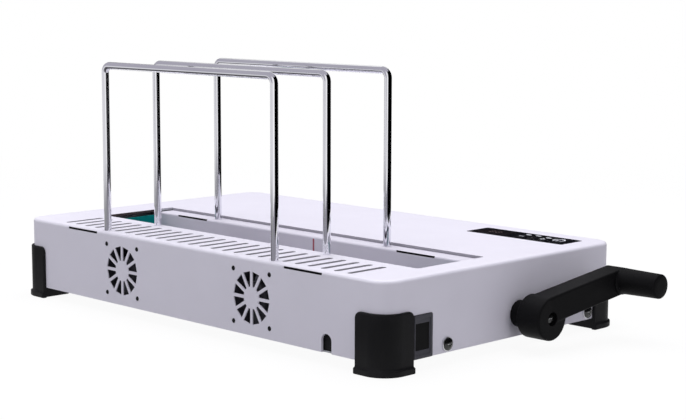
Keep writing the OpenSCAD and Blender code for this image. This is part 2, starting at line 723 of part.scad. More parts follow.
// The rack's teeth look down and mesh with the top of the pinion
function rack_points() = let (p = PI * gear_module, h = gear_module, d = root_share * gear_module,
        q = p / 4 - tooth_play, t = tan(pressure_angle), y0 = clamp_back, y1 = shaft_y + travel + 3 * p,
        n0 = -floor((shaft_y - y0 - rack_start) / p), n1 = floor((y1 - shaft_y) / p) - 1)
    concat([[y0, rack_back], [y0, d]],
        [for (i = [n0:n1]) each [[shaft_y + i * p - q - d * t, d], [shaft_y + i * p - q + h * t, -h],
            [shaft_y + i * p + q - h * t, -h], [shaft_y + i * p + q + d * t, d]]],
        [[y1, d], [y1, rack_back]]);
module rack(x) color("slategray") place() {
    translate([x - rack_w / 2, 0, shaft_z + pitch_r]) rotate([90, 0, 90]) linear_extrude(rack_w)
        polygon(rack_points());
    block([x - rack_lug_w / 2, clamp_back, shaft_z + pitch_r + root_share * gear_module],
        [x + rack_lug_w / 2, clamp_back + rack_lug_t, clamp_z - plate_t]);
}
module rack_left() rack(rack_x0);
module rack_right() rack(rack_x1);

module guide_rods() color("silver") place() at_rods() translate([0, clamp_back, 0]) along_y() difference() {
    cylinder(r = rod_r, h = rod_l);
    translate([0, 0, -over]) cylinder(r = screw_r, h = 3 * screw_l, $fn = 24);
}
module clamp_screws() color("gray") place() at_rods() translate([0, clamp_y + screw_head_h / 2, 0])
    rotate([90, 0, 0]) {
    translate([0, 0, -2 * screw_l]) cylinder(r = screw_r, h = 2 * screw_l, $fn = 24);
    cylinder(r = screw_head_r - gap, h = screw_head_h / 2, $fn = 32);
}
module at_brackets() at_rods() for (y = [clamp_back + bracket_near, clamp_back + bracket_far])
    translate([0, y, 0]) children();
module guide_brackets() color("gray") place() at_brackets() difference() {
    block([-bracket_w / 2, 0, pan_t - rod_z], [bracket_w / 2, bracket_t, rod_r + bush_wall + bracket_cap]);
    translate([0, -over, 0]) along_y() cylinder(r = rod_r + bush_wall, h = bracket_t + 2 * over);
}
module guide_bushes() color("goldenrod") place() at_brackets() along_y() difference() {
    cylinder(r = rod_r + bush_wall, h = bracket_t);
    translate([0, 0, -over]) cylinder(r = rod_r + run_fit, h = bracket_t + 2 * over);
}

// Shaft, pinions and bearings
bear_x0 = rack_x0 - bearing_off;
bear_x1 = rack_x1 + bearing_off;
shaft_x0 = bear_x0 - bearing_w / 2 - shaft_tail;
module cross_shaft() color("silver") place() translate([0, shaft_y, shaft_z]) difference() {
    translate([shaft_x0, 0, 0]) along_x() cylinder(r = shaft_r, h = case_l / 2 + shaft_out - shaft_x0);
    translate([case_l / 2 + shaft_out - crank_screw_l, 0, 0]) along_x()
        cylinder(r = crank_screw_r, h = crank_screw_l + over, $fn = 24);
}
function involute_gap(r, base) = let (c = base / r, a = acos(min(1, c))) tan(a) * 180 / PI - a;
function pinion_points() = let (rb = pitch_r * cos(pressure_angle), ra = pitch_r + gear_module,
        rf = pitch_r - root_share * gear_module, steps = 4,
        half = 90 / pinion_teeth - tooth_play / pitch_r * 180 / PI + involute_gap(pitch_r, rb))
    [for (k = [0:pinion_teeth - 1]) let (c = (k + 0.5) * 360 / pinion_teeth) each concat(
        [rf * [cos(c - half), sin(c - half)]],
        [for (i = [0:steps]) let (r = rb + (ra - rb) * i / steps, a = c - half + involute_gap(r, rb))
            r * [cos(a), sin(a)]],
        [for (i = [steps:-1:0]) let (r = rb + (ra - rb) * i / steps, a = c + half - involute_gap(r, rb))
            r * [cos(a), sin(a)]],
        [rf * [cos(c + half), sin(c + half)]])];
module pinion(x) color("slategray") place() translate([x - rack_w / 2, shaft_y, shaft_z])
    rotate([90, 0, 90]) difference() {
    linear_extrude(rack_w) polygon(pinion_points());
    translate([0, 0, -over]) cylinder(r = shaft_r, h = rack_w + 2 * over);
}
module pinion_left() pinion(rack_x0);
module pinion_right() pinion(rack_x1);
module shaft_bearings() color("gray") place() for (x = [bear_x0, bear_x1])
    translate([x - bearing_w / 2, shaft_y, shaft_z])
    difference() {
        block([0, -bearing_half, pan_t - shaft_z], [bearing_w, bearing_half, shaft_r + bearing_cap]);
        translate([-over, 0, 0]) along_x() cylinder(r = shaft_r + run_fit, h = bearing_w + 2 * over);
    }
module wall_bush() color([0.1, 0.1, 0.11]) at_shaft() difference() {
    union() {
        cylinder(r = collar_r, h = collar_t);
        translate([0, 0, -case_wall - nut_t - over]) cylinder(r = bush_r, h = case_wall + nut_t + over);
    }
    translate([0, 0, -case_wall - nut_t - 2 * over])
        cylinder(r = shaft_r + run_fit, h = collar_t + case_wall + nut_t + 3 * over);
}
module bush_nut() color("gray") at_shaft() translate([0, 0, -case_wall - nut_t]) difference() {
    rotate(30) cylinder(r = nut_r, h = nut_t, $fn = 6);
    translate([0, 0, -over]) cylinder(r = bush_r, h = nut_t + 2 * over);
}

// The crank's own frame: Z out of the wall, X down and Y towards the operator
module crank_arm() color([0.09, 0.09, 0.1]) at_shaft() difference() {
    union() {
        translate([0, 0, hub_x0]) cylinder(r1 = hub_r - hub_chamfer, r2 = hub_r, h = hub_chamfer, $fn = 64);
        translate([0, 0, hub_x0 + hub_chamfer])
            cylinder(r = hub_r, h = hub_x1 - hub_x0 - 2 * hub_chamfer, $fn = 64);
        translate([0, 0, hub_x1 - hub_chamfer])
            cylinder(r1 = hub_r, r2 = hub_r - hub_chamfer, h = hub_chamfer, $fn = 64);
        rotate(arm_tilt) {
            translate([2 * grip_r - hub_r, 0, 0]) rotate([0, -90, 0]) linear_extrude(2 * grip_r)
                polygon([[arm_in_hub, 0], [hub_x1, 0], [arm_out, arm_run], [arm_in_tip, arm_run]]);
            translate([grip_r - hub_r, arm_run, arm_in_tip]) cylinder(r = grip_r, h = arm_out - arm_in_tip);
        }
    }
    translate([0, 0, hub_x0 - over]) cylinder(r = shaft_r, h = shaft_out - hub_x0 + over);
    translate([0, 0, shaft_out - over]) cylinder(r = crank_screw_r, h = hub_x1, $fn = 24);
    translate([0, 0, hub_x1 - seat_deep]) cylinder(r = seat_r, h = seat_deep + over);
}
module crank_grip() color([0.09, 0.09, 0.1]) at_shaft() rotate(arm_tilt)
    translate([grip_r - hub_r, arm_run, 0]) {
    translate([0, 0, arm_out]) cylinder(r1 = grip_r, r2 = grip_r - grip_neck, h = 2 * grip_round);
    translate([0, 0, arm_out + 2 * grip_round])
        cylinder(r = grip_r - grip_neck, h = grip_reach - arm_out - 3 * grip_round);
    translate([0, 0, grip_reach - grip_round])
        cylinder(r1 = grip_r - grip_neck, r2 = grip_r - grip_neck - grip_round, h = grip_round);
}
module crank_screw() color("gray") at_shaft() translate([0, 0, hub_x1 - seat_deep])
    cross_screw(crank_screw_r, hub_x1 - seat_deep - shaft_out + crank_screw_l - over, seat_r - gap,
        screw_head_h);

// Mains inlet: bezel, stepped face and a socket with two cut corners
module power_inlet() color([0.15, 0.15, 0.16]) place() translate([case_l / 2, inlet_y, inlet_z])
    difference() {
    union() {
        block([0, -inlet_w / 2, -inlet_h / 2], [bezel_t, inlet_w / 2, inlet_h / 2]);
        block([-inlet_deep, -inlet_body_w / 2, -inlet_body_h / 2],
            [bezel_t / 2, inlet_body_w / 2, inlet_body_h / 2]);
    }
    block([bezel_t - step_deep, -inlet_w / 2 + bezel_step, -inlet_h / 2 + 2 * bezel_step],
        [bezel_t + over, inlet_w / 2 - bezel_step, inlet_h / 2 - 2 * bezel_step]);
    difference() {
        block([bezel_t - socket_deep, -socket_w / 2, -socket_h / 2],
            [bezel_t + over, socket_w / 2, socket_h / 2]);
        for (s = [-1, 1]) translate([-socket_deep, socket_w / 2, s * socket_h / 2]) rotate([45, 0, 0])
            translate([0, -socket_cut / sqrt(2), -socket_cut / sqrt(2)])
                cube([2 * socket_deep, sqrt(2) * socket_cut, sqrt(2) * socket_cut]);
    }
}
module inlet_pins() color("silver") place() translate([case_l / 2 + bezel_t - socket_deep, inlet_y, inlet_z])
    for (p = [[-pin_offset, -pin_spread], [-pin_offset, pin_spread], [pin_offset, 0]])
        translate([0, p[0], p[1]]) block([0, -pin_w / 2, -pin_t / 2], [pin_l, pin_w / 2, pin_t / 2]);

// The wires from the inlet, laid along the pan and up to the power board's terminals
module wire_loom() color("black") place() {
    x0 = case_l / 2 - inlet_deep - loom_r;
    x1 = -in_x + loom_x;
    x2 = pb_x + pb_w / 2 - pb_inset - term_w / 2;
    y2 = pb_y + pb_d / 2;
    y1 = y2 + 2 * loom_r;
    z1 = pan_t + loom_r;
    z2 = pan_t + pb_h + pb_t + term_h / 2;
    translate([x0, inlet_y, inlet_z]) along_x() cylinder(r = loom_r, h = loom_r, $fn = 24);
    translate([x0, inlet_y, z1]) cylinder(r = loom_r, h = inlet_z - z1, $fn = 24);
    translate([x0, inlet_y, inlet_z]) sphere(loom_r, $fn = 24);
    translate([x0, inlet_y, z1]) sphere(loom_r, $fn = 24);
    translate([x1, inlet_y, z1]) along_x() cylinder(r = loom_r, h = x0 - x1, $fn = 24);
    translate([x1, inlet_y, z1]) sphere(loom_r, $fn = 24);
    translate([x1, inlet_y, z1]) along_y() cylinder(r = loom_r, h = y1 - inlet_y, $fn = 24);
    translate([x1, y1, z1]) sphere(loom_r, $fn = 24);
    translate([x1, y1, z1]) along_x() cylinder(r = loom_r, h = x2 - x1, $fn = 24);
    translate([x2, y1, z1]) sphere(loom_r, $fn = 24);
    translate([x2, y1, z1]) cylinder(r = loom_r, h = z2 - z1, $fn = 24);
    translate([x2, y1, z2]) sphere(loom_r, $fn = 24);
    translate([x2, y2, z2]) along_y() cylinder(r = loom_r, h = y1 - y2, $fn = 24);
}

module panel_plate() color([0.03, 0.03, 0.04]) place() translate([panel_x, panel_y, case_h - panel_sunk])
    difference() {
    round_slab(panel_w, panel_h, panel_t, panel_r);
    translate([window_x, 0, panel_t / 2]) round_slab(window_w, window_h, panel_t, panel_r);
    for (i = [0:len(key_col) - 1]) translate([key_col[i], key_row[i], -over])
        cylinder(r = key_size(i) + gap, h = panel_t + 2 * over);
}
function key_size(i) = i == len(key_col) - 1 ? key_power_r : key_r;
module display_window() color([0.05, 0.05, 0.06]) place()
    translate([panel_x + window_x, panel_y, case_h - panel_sunk + panel_t / 2])
        round_slab(window_w, window_h, panel_t / 2, panel_r);

// A key: a cap that fills its hole, a flange under the panel and a stem down to its switch
module key(i) color([0.1, 0.1, 0.11]) place()
    translate([panel_x + key_col[i], panel_y + key_row[i], case_h]) {
    skirt = panel_sunk + gap + key_flange_t;
    translate([0, 0, -skirt]) cylinder(r = key_size(i), h = skirt + panel_t - panel_sunk + key_proud);
    translate([0, 0, -skirt]) cylinder(r = key_size(i) + key_flange, h = key_flange_t);
    translate([0, 0, -key_seat]) cylinder(r = key_stem_r, h = key_seat - skirt + key_flange_t, $fn = 32);
}
key_seat = cb_drop / 2;
module key_minus() key(0);
module key_mode() key(1);
module key_plus() key(2);
module key_power() key(3);
module key_switches() color("dimgray") place() at_keys()
    block([-switch_w / 2, -switch_w / 2, case_h - cb_drop],
        [switch_w / 2, switch_w / 2, case_h - key_seat - key_travel - switch_gap]);
module control_board() color("darkgreen") place()
    block([panel_x - cb_w / 2, panel_y - cb_d / 2, case_h - cb_drop - cb_t],
        [panel_x + cb_w / 2, panel_y + cb_d / 2, case_h - cb_drop]);
module board_posts() color("gray") place() {
    for (sx = [-1, 1], sy = [-1, 1]) {
        translate([panel_x + sx * (cb_w / 2 - cb_inset), panel_y + sy * (cb_d / 2 - cb_post_r),
            case_h - cb_drop])
            cylinder(r = cb_post_r, h = cb_drop - case_wall);
        translate([pb_x + sx * (pb_w / 2 - pb_inset), pb_y + sy * (pb_d / 2 - pb_inset), pan_t])
            cylinder(r = pb_post_r, h = pb_h);
    }
}
module power_board() color("darkgreen") place()
    block([pb_x - pb_w / 2, pb_y - pb_d / 2, pan_t + pb_h],
        [pb_x + pb_w / 2, pb_y + pb_d / 2, pan_t + pb_h + pb_t]);

// Transformer, capacitors, relays and terminals on the power board
module power_parts() color("darkkhaki") place() translate([pb_x, pb_y, pan_t + pb_h + pb_t]) {
    block([-pb_w / 2 + pb_inset, -core_d / 2, 0], [-pb_w / 2 + pb_inset + core_w, core_d / 2, core_h]);
    for (s = [-1, 1]) translate([pb_w / 2 - pb_inset - cap_r, s * (cap_r + gap), 0])
        cylinder(r = cap_r, h = cap_h);
    for (s = [-1, 1])
        translate([0, s * (core_d / 2 + part_gap + relay_d / 2), 0])
            block([-relay_w / 2, -relay_d / 2, 0], [relay_w / 2, relay_d / 2, relay_h]);
    block([pb_w / 2 - pb_inset - term_w, pb_d / 2 - term_d, 0], [pb_w / 2 - pb_inset, pb_d / 2, term_h]);
}

top_casing();
base_pan();
foot_fan_left();
foot_fan_right();
foot_panel_left();
foot_panel_right();
foot_screws();
casing_screws();
rest_bar_rear();
rest_bar_middle();
rest_bar_clamp();
rest_bar_nuts();
clamp_bar_nuts();
notch_grommet();
fan_frame_left();
fan_frame_right();
fan_rotor_left();
fan_rotor_right();
fan_screws();
air_baffle();
fixed_jaw();
jaw_brackets();
heater_plate();
heating_element();
insulation_board();
heater_posts();
thermostat();
end_guide_left();
end_guide_right();
clamp_plate();
rack_left();
rack_right();
guide_rods();
clamp_screws();
guide_brackets();
guide_bushes();
cross_shaft();
pinion_left();
pinion_right();
shaft_bearings();
wall_bush();
bush_nut();
crank_arm();
crank_grip();
crank_screw();
power_inlet();
inlet_pins();
wire_loom();
panel_plate();
display_window();
key_power();
key_minus();
key_plus();
key_mode();
key_switches();
control_board();
board_posts();
power_board();
power_parts();
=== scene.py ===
# %% [markdown]
# # Dressing a thermal binding machine
# The machine glues books in their covers. A book stands in the long trough, a side crank slides the
# clamp against it, and hot books cool between three wire rests over a vented strip. The packed model
# gives the sizes and the moving bodies. This lesson adds surfaces, finishes, light and a camera.

# %% Load the frame
import json
import math
import bpy
import numpy as np
from mathutils import Matrix, Vector


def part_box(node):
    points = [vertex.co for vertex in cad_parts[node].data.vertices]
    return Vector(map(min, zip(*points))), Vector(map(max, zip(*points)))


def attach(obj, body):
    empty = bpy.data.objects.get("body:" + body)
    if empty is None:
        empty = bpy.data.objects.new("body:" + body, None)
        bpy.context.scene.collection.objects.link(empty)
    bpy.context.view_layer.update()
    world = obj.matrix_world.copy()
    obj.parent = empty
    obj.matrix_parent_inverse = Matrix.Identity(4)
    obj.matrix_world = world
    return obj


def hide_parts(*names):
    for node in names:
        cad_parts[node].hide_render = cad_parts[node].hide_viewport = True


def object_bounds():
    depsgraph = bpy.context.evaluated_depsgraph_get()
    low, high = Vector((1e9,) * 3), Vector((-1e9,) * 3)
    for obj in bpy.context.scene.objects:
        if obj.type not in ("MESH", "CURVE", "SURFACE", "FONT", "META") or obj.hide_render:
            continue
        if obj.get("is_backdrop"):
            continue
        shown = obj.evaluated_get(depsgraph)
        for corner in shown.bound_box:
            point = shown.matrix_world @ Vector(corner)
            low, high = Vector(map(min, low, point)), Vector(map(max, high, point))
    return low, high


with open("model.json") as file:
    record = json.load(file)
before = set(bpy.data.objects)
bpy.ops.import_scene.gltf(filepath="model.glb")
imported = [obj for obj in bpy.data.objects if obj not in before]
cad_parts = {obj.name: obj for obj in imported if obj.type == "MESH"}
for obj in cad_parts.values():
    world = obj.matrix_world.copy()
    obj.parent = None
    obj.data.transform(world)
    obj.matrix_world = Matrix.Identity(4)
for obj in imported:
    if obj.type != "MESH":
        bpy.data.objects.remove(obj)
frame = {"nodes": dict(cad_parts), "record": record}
cad_box = [list(corner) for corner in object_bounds()]
print("pieces from the model:", len(frame["nodes"]))

# %% [markdown]
# ## One place to measure from
# Every drawing of the machine starts at the middle of the cover's underside, in millimetres. Blender
# works in metres from the point under the feet, so one helper turns the first into the second. The
# cover's own box gives that starting point, so nothing has to be typed twice.

# %% The drawing's origin
lid_low, lid_high = [np.array(corner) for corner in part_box("top_casing")]
ORIGIN = np.array([(lid_low[0] + lid_high[0]) / 2, (lid_low[1] + lid_high[1]) / 2, lid_low[2]])
LONG, DEEP, TALL = (lid_high - lid_low) * 1000


def metres(points):
    """Drawing millimetres to scene metres: p / 1000 + origin."""
    return np.asarray(points, float) / 1000 + ORIGIN


def drawn(node):
    """A node's lowest and highest corner in drawing millimetres."""
    return [(np.array(corner) - ORIGIN) * 1000 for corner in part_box(node)]


def centre(node):
    """The middle of a node's box in drawing millimetres."""
    return sum(drawn(node)) / 2


print("cover, mm:", round(LONG, 1), round(DEEP, 1), round(TALL, 1))

# %% [markdown]
# ## The camera
# The camera stands in front of the corner between the fan wall and the crank wall, a little above the
# top. Its place, turn and lens were worked out from the cover's corners, so straight lines fall where
# the picture has them. It uses no shift and no depth of field, so other views stay true.

# %% Camera
YAW, PITCH, ROLL = np.radians([45.393, 7.909, 0.159])
EYE, LENS = [1193.68, -1125.47, 320.24], 84.17
ahead = np.array([-math.sin(YAW) * math.cos(PITCH), math.cos(YAW) * math.cos(PITCH), -math.sin(PITCH)])
right = np.array([math.cos(YAW), math.sin(YAW), 0.0])
up = np.cross(right, ahead)
right, up = (math.cos(ROLL) * right + math.sin(ROLL) * up,
             math.cos(ROLL) * up - math.sin(ROLL) * right)
camera = bpy.data.objects.new("camera", bpy.data.cameras.new("camera"))
camera.data.lens = LENS
camera.data.sensor_width = 36
camera.data.clip_start, camera.data.clip_end = 0.05, 50
turn = Matrix(np.column_stack([right, up, -ahead]).tolist()).to_4x4()
camera.matrix_world = Matrix.Translation(metres(EYE)) @ turn
bpy.context.scene.collection.objects.link(camera)
bpy.context.scene.camera = camera
print("camera at", [round(c, 3) for c in camera.location])

# %% [markdown]
# ## Shader sums in plain Python
# A finish is mostly arithmetic on numbers that change over the surface. A small class holds a socket
# and gives it the usual operators, so 1 - mask adds the Math node that it means. A soft step is the
# one other sum that masks need, so it has a name too.


# %% A socket with operators
def adds(operation, swapped=False):
    """An operator that adds one Math node; swapped gives its reflected form."""
    def method(self, other):
        pair = (other, self) if swapped else (self, other)
        return self.look.node("ShaderNodeMath", {"operation": operation}, dict(enumerate(pair)))
    return method


class Val:
    """A number that changes over a surface: Python's operators on it add Math nodes."""

    def __init__(self, look, socket):
        self.look, self.socket = look, socket

    __add__ = __radd__ = adds("ADD")
    __sub__, __rsub__ = adds("SUBTRACT"), adds("SUBTRACT", True)
    __mul__ = __rmul__ = adds("MULTIPLY")

    def between(self, low, high):
        """A soft step: 0 under low, 1 over high, smooth between them."""
        return self.look.node("ShaderNodeMapRange", {"interpolation_type": "SMOOTHSTEP"},
                              {"Value": self, "From Min": low, "From Max": high})


print("operators:", [name for name in vars(Val) if name.startswith(("__add", "__sub", "__mul", "__r"))])

# %% [markdown]
# ## One maker for every node
# A finish owns a node tree. One method makes any node in it: it takes the node's type, its settings
# and what its sockets get. The usual textures are short methods on top, sized in millimetres on the
# object's own coordinates, so a pattern stays in place when the piece moves.


# %% A finish with one node maker
class Look:
    """A finish, or the nodes of block. They come from node(), and close() joins them to the surface."""

    def __init__(self, name, block=None):
        self.material = bpy.data.materials.new(name) if block is None else block
        self.material.use_nodes = True
        self.tree = self.material.node_tree
        self.tree.nodes.clear()
        self.place = self.node("ShaderNodeTexCoord", out="Object")

    def node(self, kind, settings=None, values=None, out=0):
        """Makes a node, sets it, fills its sockets with numbers or links, and gives one output."""
        made = self.tree.nodes.new(kind)
        for key, value in (settings or {}).items():
            setattr(made, key, value)
        for key, value in (values or {}).items():
            if isinstance(value, Val):
                self.tree.links.new(value.socket, made.inputs[key])
            else:
                made.inputs[key].default_value = value
        return Val(self, made.outputs[out]) if len(made.outputs) else made

    def noise(self, size_mm, detail, stretch=(1, 1, 1)):
        """Cloudy noise from 0 to 1 whose blobs are size_mm across, or longer along an axis."""
        spot = self.node("ShaderNodeMapping", {}, {"Vector": self.place, "Scale": stretch})
        return self.node("ShaderNodeTexNoise", {}, {"Vector": spot, "Scale": 1000 / size_mm,
                                                    "Detail": detail}, out="Fac")

    def cells(self, size_mm, out="Distance", feature="F1", jitter=1.0):
        """Cells of size_mm: their distance or their own random colour."""
        return self.node("ShaderNodeTexVoronoi", {"feature": feature},
                         {"Vector": self.place, "Scale": 1000 / size_mm, "Randomness": jitter}, out=out)

    def along(self, axis):
        """One of the three object coordinates, in millimetres."""
        return self.node("ShaderNodeSeparateXYZ", {}, {0: self.place}, out=axis) * 1000

    def blend(self, a, b, share):
        """A colour between a and b."""
        a, b = [(*c, 1) if isinstance(c, tuple) else c for c in (a, b)]
        return self.node("ShaderNodeMix", {"data_type": "RGBA"}, {0: share, 6: a, 7: b}, out=2)

    def bump(self, height, depth_mm, strength=1.0):
        """A normal that follows height as if it rose depth_mm."""
        return self.node("ShaderNodeBump", {}, {"Height": height, "Distance": depth_mm / 1000,
                                                "Strength": strength})

    def close(self, **sockets):
        """Joins a Principled surface, whose sockets are named with _ for a space, to the output."""
        values = {key.replace("_", " "): (*value, 1) if isinstance(value, tuple) else value
                  for key, value in sockets.items()}
        surface = self.node("ShaderNodeBsdfPrincipled", {}, values)
        self.node("ShaderNodeOutputMaterial", {}, {"Surface": surface})
        return self.material


def tint(r, g, b):
    """A screen colour (0 to 255) as the linear one that shaders use."""
    c = np.array([r, g, b]) / 255
    return tuple(np.where(c <= 0.04045, c / 12.92, ((c + 0.055) / 1.055) ** 2.4).tolist())


print("middle grey on screen is", round(tint(128, 128, 128)[0], 3), "in light")

# %% [markdown]
# ## Paints
# The cover is steel sheet with a fine powder coat. The coat shows a faint orange peel under a slow
# change of tone, and handling leaves it duller in cloudy spots. The clamp, the end guides and the
# inner sheets share the recipe with other colours, so it's one function. The sheet's cut edges get
# darker colours of painted shade: one for most edges, a paler one for the cooling slots and a dark
# one where the trough's left edge hangs over the guide, with a painted lit part above the clamp.


# %% Powder coat
def powder_coat(name, colour, shade=0.05, gloss=0.42, shine=0.5, lit_colour_beyond=None):
    """Tone drifts by shade over 60 mm, peel bumps every 0.7 mm; beyond y = -20 mm a lighter colour is painted
    light.
    """
    look = Look(name)
    drift = look.noise(60, 3)
    specks = look.noise(1.1, 1).between(0.66, 0.74)
    darker = tuple(c * (1 - 2 * shade) for c in colour)
    paint = look.blend(colour, darker, (drift - 0.35) * 0.9)
    paint = look.blend(paint, tuple(c * 0.86 for c in colour), specks * 0.10)
    # Painted light: past y = -20 mm the colour turns lighter where the edge is lit.
    if lit_colour_beyond:
        paint = look.blend(paint, lit_colour_beyond, look.along(1).between(-21, -19))
    rough = gloss + drift * 0.10 + look.noise(9, 2) * 0.06
    return look.close(Base_Color=paint, Roughness=rough, Specular_IOR_Level=shine,
                      Normal=look.bump(look.noise(0.7, 2), 0.018))


paint_white = powder_coat("paint_white", tint(233, 231, 241))
paint_clamp = powder_coat("paint_clamp", tint(222, 219, 230), 0.06)
paint_teal = powder_coat("paint_teal", tint(0, 124, 122), 0.10, 0.5, shine=0.05)
# Painted shade: the next three colours darken the cover's cut edges where shade falls; the last turns
# lighter, as painted light, above the clamp.
edge_painted_shade = powder_coat("edge_painted_shade", tint(156, 154, 162), 0.08, 0.5)
slot_painted_shade = powder_coat("slot_painted_shade", tint(184, 182, 190), 0.06, 0.5)
trough_end_painted_shade = powder_coat("trough_end_painted_shade", tint(74, 64, 66), 0.06, 0.6, 0.1, tint(196, 194, 203))
print("paints:", len(bpy.data.materials))

# %% [markdown]
# ## Bare metals
# Chrome on the rests is nearly a mirror, with hair-fine wipe marks that only change its roughness.
# Ground rods and the shaft carry rings of fine lines from the grinder. Gears are cut steel with oily
# patches. The floor pan is zinc-coated sheet, whose crystals show as flat grey flakes.


# %% Chrome, ground steel, cut steel, zinc and bronze
def chrome_finish(name):
    """Mirror metal: roughness 0.03 with streaks drawn out 30 times along the wire."""
    look = Look(name)
    wipe = look.noise(1.6, 3, (1, 1, 0.03))
    haze = look.noise(45, 2)
    tone = look.blend(tint(242, 242, 246), tint(226, 226, 232), haze)
    return look.close(Base_Color=tone, Metallic=1.0, Roughness=0.03 + wipe * 0.015 + haze * 0.02,
                      Normal=look.bump(look.noise(40, 1), 0.001))


def metal_finish(name, colour, rough, grain, line_mm, depth_mm):
    """Worked metal: grain is the stretch of the tool's lines along x, y and z."""
    look = Look(name)
    lines, stain = look.noise(line_mm, 3, grain), look.noise(22, 3)
    tone = look.blend(colour, tuple(c * 0.72 for c in colour), lines * 0.6 + stain * 0.25)
    return look.close(Base_Color=tone, Metallic=1.0, Roughness=rough + lines * 0.16 + stain * 0.08,
                      Normal=look.bump(lines, depth_mm))


def zinc_finish(name):
    """Zinc sheet: flakes of about 9 mm, each with its own grey."""
    look = Look(name)
    flake = look.node("ShaderNodeSeparateColor", {}, {"Color": look.cells(9, "Color")})
    tone = look.blend(tint(150, 152, 158), tint(190, 192, 198), flake)
    return look.close(Base_Color=tone, Metallic=0.85, Normal=look.bump(look.noise(2.2, 2), 0.01),
                      Roughness=0.34 + flake * 0.14 + look.noise(30, 2) * 0.08)


bar_chrome = chrome_finish("bar_chrome")
ground_steel = metal_finish("ground_steel", tint(196, 197, 202), 0.18, (6, 1, 1), 0.8, 0.01)
cut_steel = metal_finish("cut_steel", tint(122, 124, 132), 0.32, (8, 1, 1), 0.9, 0.02)
zinc_plate = metal_finish("zinc_plate", tint(168, 170, 176), 0.30, (1, 1, 1), 1.4, 0.01)
milled_alloy = metal_finish("milled_alloy", tint(196, 197, 200), 0.30, (0.04, 1, 1), 0.5, 0.012)
bronze = metal_finish("bronze", tint(176, 134, 84), 0.36, (1, 1, 1), 0.6, 0.02)
pin_metal = metal_finish("pin_metal", tint(206, 200, 184), 0.22, (0.1, 1, 1), 0.6, 0.008)
bright_zinc = metal_finish("bright_zinc", tint(232, 232, 236), 0.2, (1, 1, 1), 2.2, 0.004)
zinc_sheet = zinc_finish("zinc_sheet")
print("with metals:", len(bpy.data.materials))

# %% [markdown]
# ## Rubber and plastics
# Moulded black parts aren't flat black. Rubber feet are dull, with a fine grain and a greyish bloom
# in patches. The crank has the even spark-eroded texture of a mould. The key panel is glossy, and its
# shine breaks where fingers have left smears.


# %% Rubber, moulded plastic and gloss plastic
def rubber_finish(name, colour):
    """Dull rubber: grain every 0.5 mm, bloom in patches of 25 mm."""
    look = Look(name)
    bloom = look.noise(25, 4).between(0.42, 0.75)
    tone = look.blend(colour, tuple(c * 1.7 + 0.003 for c in colour), bloom)
    return look.close(Base_Color=tone, Roughness=0.52 + bloom * 0.14 + look.noise(3, 2) * 0.06,
                      Specular_IOR_Level=0.15, Normal=look.bump(look.noise(0.5, 3), 0.03))


def moulded_finish(name, colour, rough=0.42, grain_mm=0.45, depth_mm=0.03, shine=0.3):
    """Moulded plastic: eroded grain, with a slow change of tone and worn, shinier patches."""
    look = Look(name)
    worn, drift = look.noise(18, 3).between(0.5, 0.8), look.noise(40, 2)
    tone = look.blend(colour, tuple(c * 1.35 + 0.002 for c in colour), drift)
    grain = look.cells(grain_mm, "Distance", "SMOOTH_F1")
    return look.close(Base_Color=tone, Roughness=rough - worn * 0.10 + drift * 0.06,
                      Specular_IOR_Level=shine, Normal=look.bump(grain, depth_mm, 0.6))


def gloss_finish(name, colour, rough=0.16):
    """Polished plastic: smears change its roughness, and a very faint wave bends its shine."""
    look = Look(name)
    smear = look.noise(12, 4, (1, 0.4, 1)).between(0.5, 0.75)
    tone = look.blend(colour, tuple(c * 1.3 + 0.002 for c in colour), look.noise(30, 2))
    return look.close(Base_Color=tone, Roughness=rough + smear * 0.12, Specular_IOR_Level=0.2,
                      Normal=look.bump(look.noise(20, 1), 0.01))


foot_rubber = rubber_finish("foot_rubber", tint(17, 17, 19))
crank_black = moulded_finish("crank_black", tint(17, 17, 18), 0.45, shine=0.04)
fan_black = moulded_finish("fan_black", tint(62, 61, 68), 0.5)
inlet_grey = moulded_finish("inlet_grey", tint(66, 66, 72), 0.45, 0.6, 0.03, 0.2)
# Painted shade: this black stands for shade in the slots, the inlet's mouth and the inlet's seam.
black_painted_shade = moulded_finish("black_painted_shade", tint(12, 12, 13), 0.6, 0.6, 0.03, 0.1)
screw_black = moulded_finish("screw_black", tint(12, 12, 14), 0.16, 0.8, 0.006, 0.6)
panel_gloss = gloss_finish("panel_gloss", tint(20, 20, 25))
window_smoke = gloss_finish("window_smoke", tint(30, 27, 30), 0.10)
key_gloss = gloss_finish("key_gloss", tint(24, 24, 30), 0.2)
loom_sleeve = moulded_finish("loom_sleeve", tint(20, 20, 20), 0.5, 1.2, 0.2)
print("with plastics:", len(bpy.data.materials))

# %% [markdown]
# ## Boards, heater and marks
# The inside is seen through the slots and when the part is taken apart. Boards are green varnish
# over copper tracks. The heater is a foil mat with a wavy track, and it lies on speckled fibre board.
# Printed marks are ink, so they differ from the paint in colour and a little in shine; the pale and dim inks
# also glow faintly, a painted light.


# %% Board, foil, fibre and ink
def board_finish(name):
    """Varnished board: tracks are lines of a square cell pattern, pads are its centres."""
    look = Look(name)
    edge = look.cells(5, "Distance", "DISTANCE_TO_EDGE", 0.35)
    track = 1 - edge.between(0.04, 0.07)
    pad = 1 - look.cells(5, "Distance", "F1", 0.35).between(0.14, 0.17)
    tone = look.blend(tint(16, 84, 44), tint(30, 118, 62), track)
    tone = look.blend(tone, tint(190, 190, 184), pad)
    return look.close(Base_Color=tone, Metallic=pad * 0.8, Roughness=0.32 - track * 0.05,
                      Normal=look.bump(track + pad, 0.03))


def foil_finish(name):
    """Foil mat: a wave across x gives the track of the heating wire."""
    look = Look(name)
    wave = look.node("ShaderNodeTexWave", {"bands_direction": "X"},
                     {"Vector": look.place, "Scale": 55.0, "Distortion": 1.5, "Detail": 1.0}, out="Fac")
    tone = look.blend(tint(188, 142, 92), tint(128, 88, 56), wave.between(0.4, 0.6))
    return look.close(Base_Color=tone, Metallic=0.6, Roughness=0.34 + wave * 0.1,
                      Normal=look.bump(wave, 0.1))


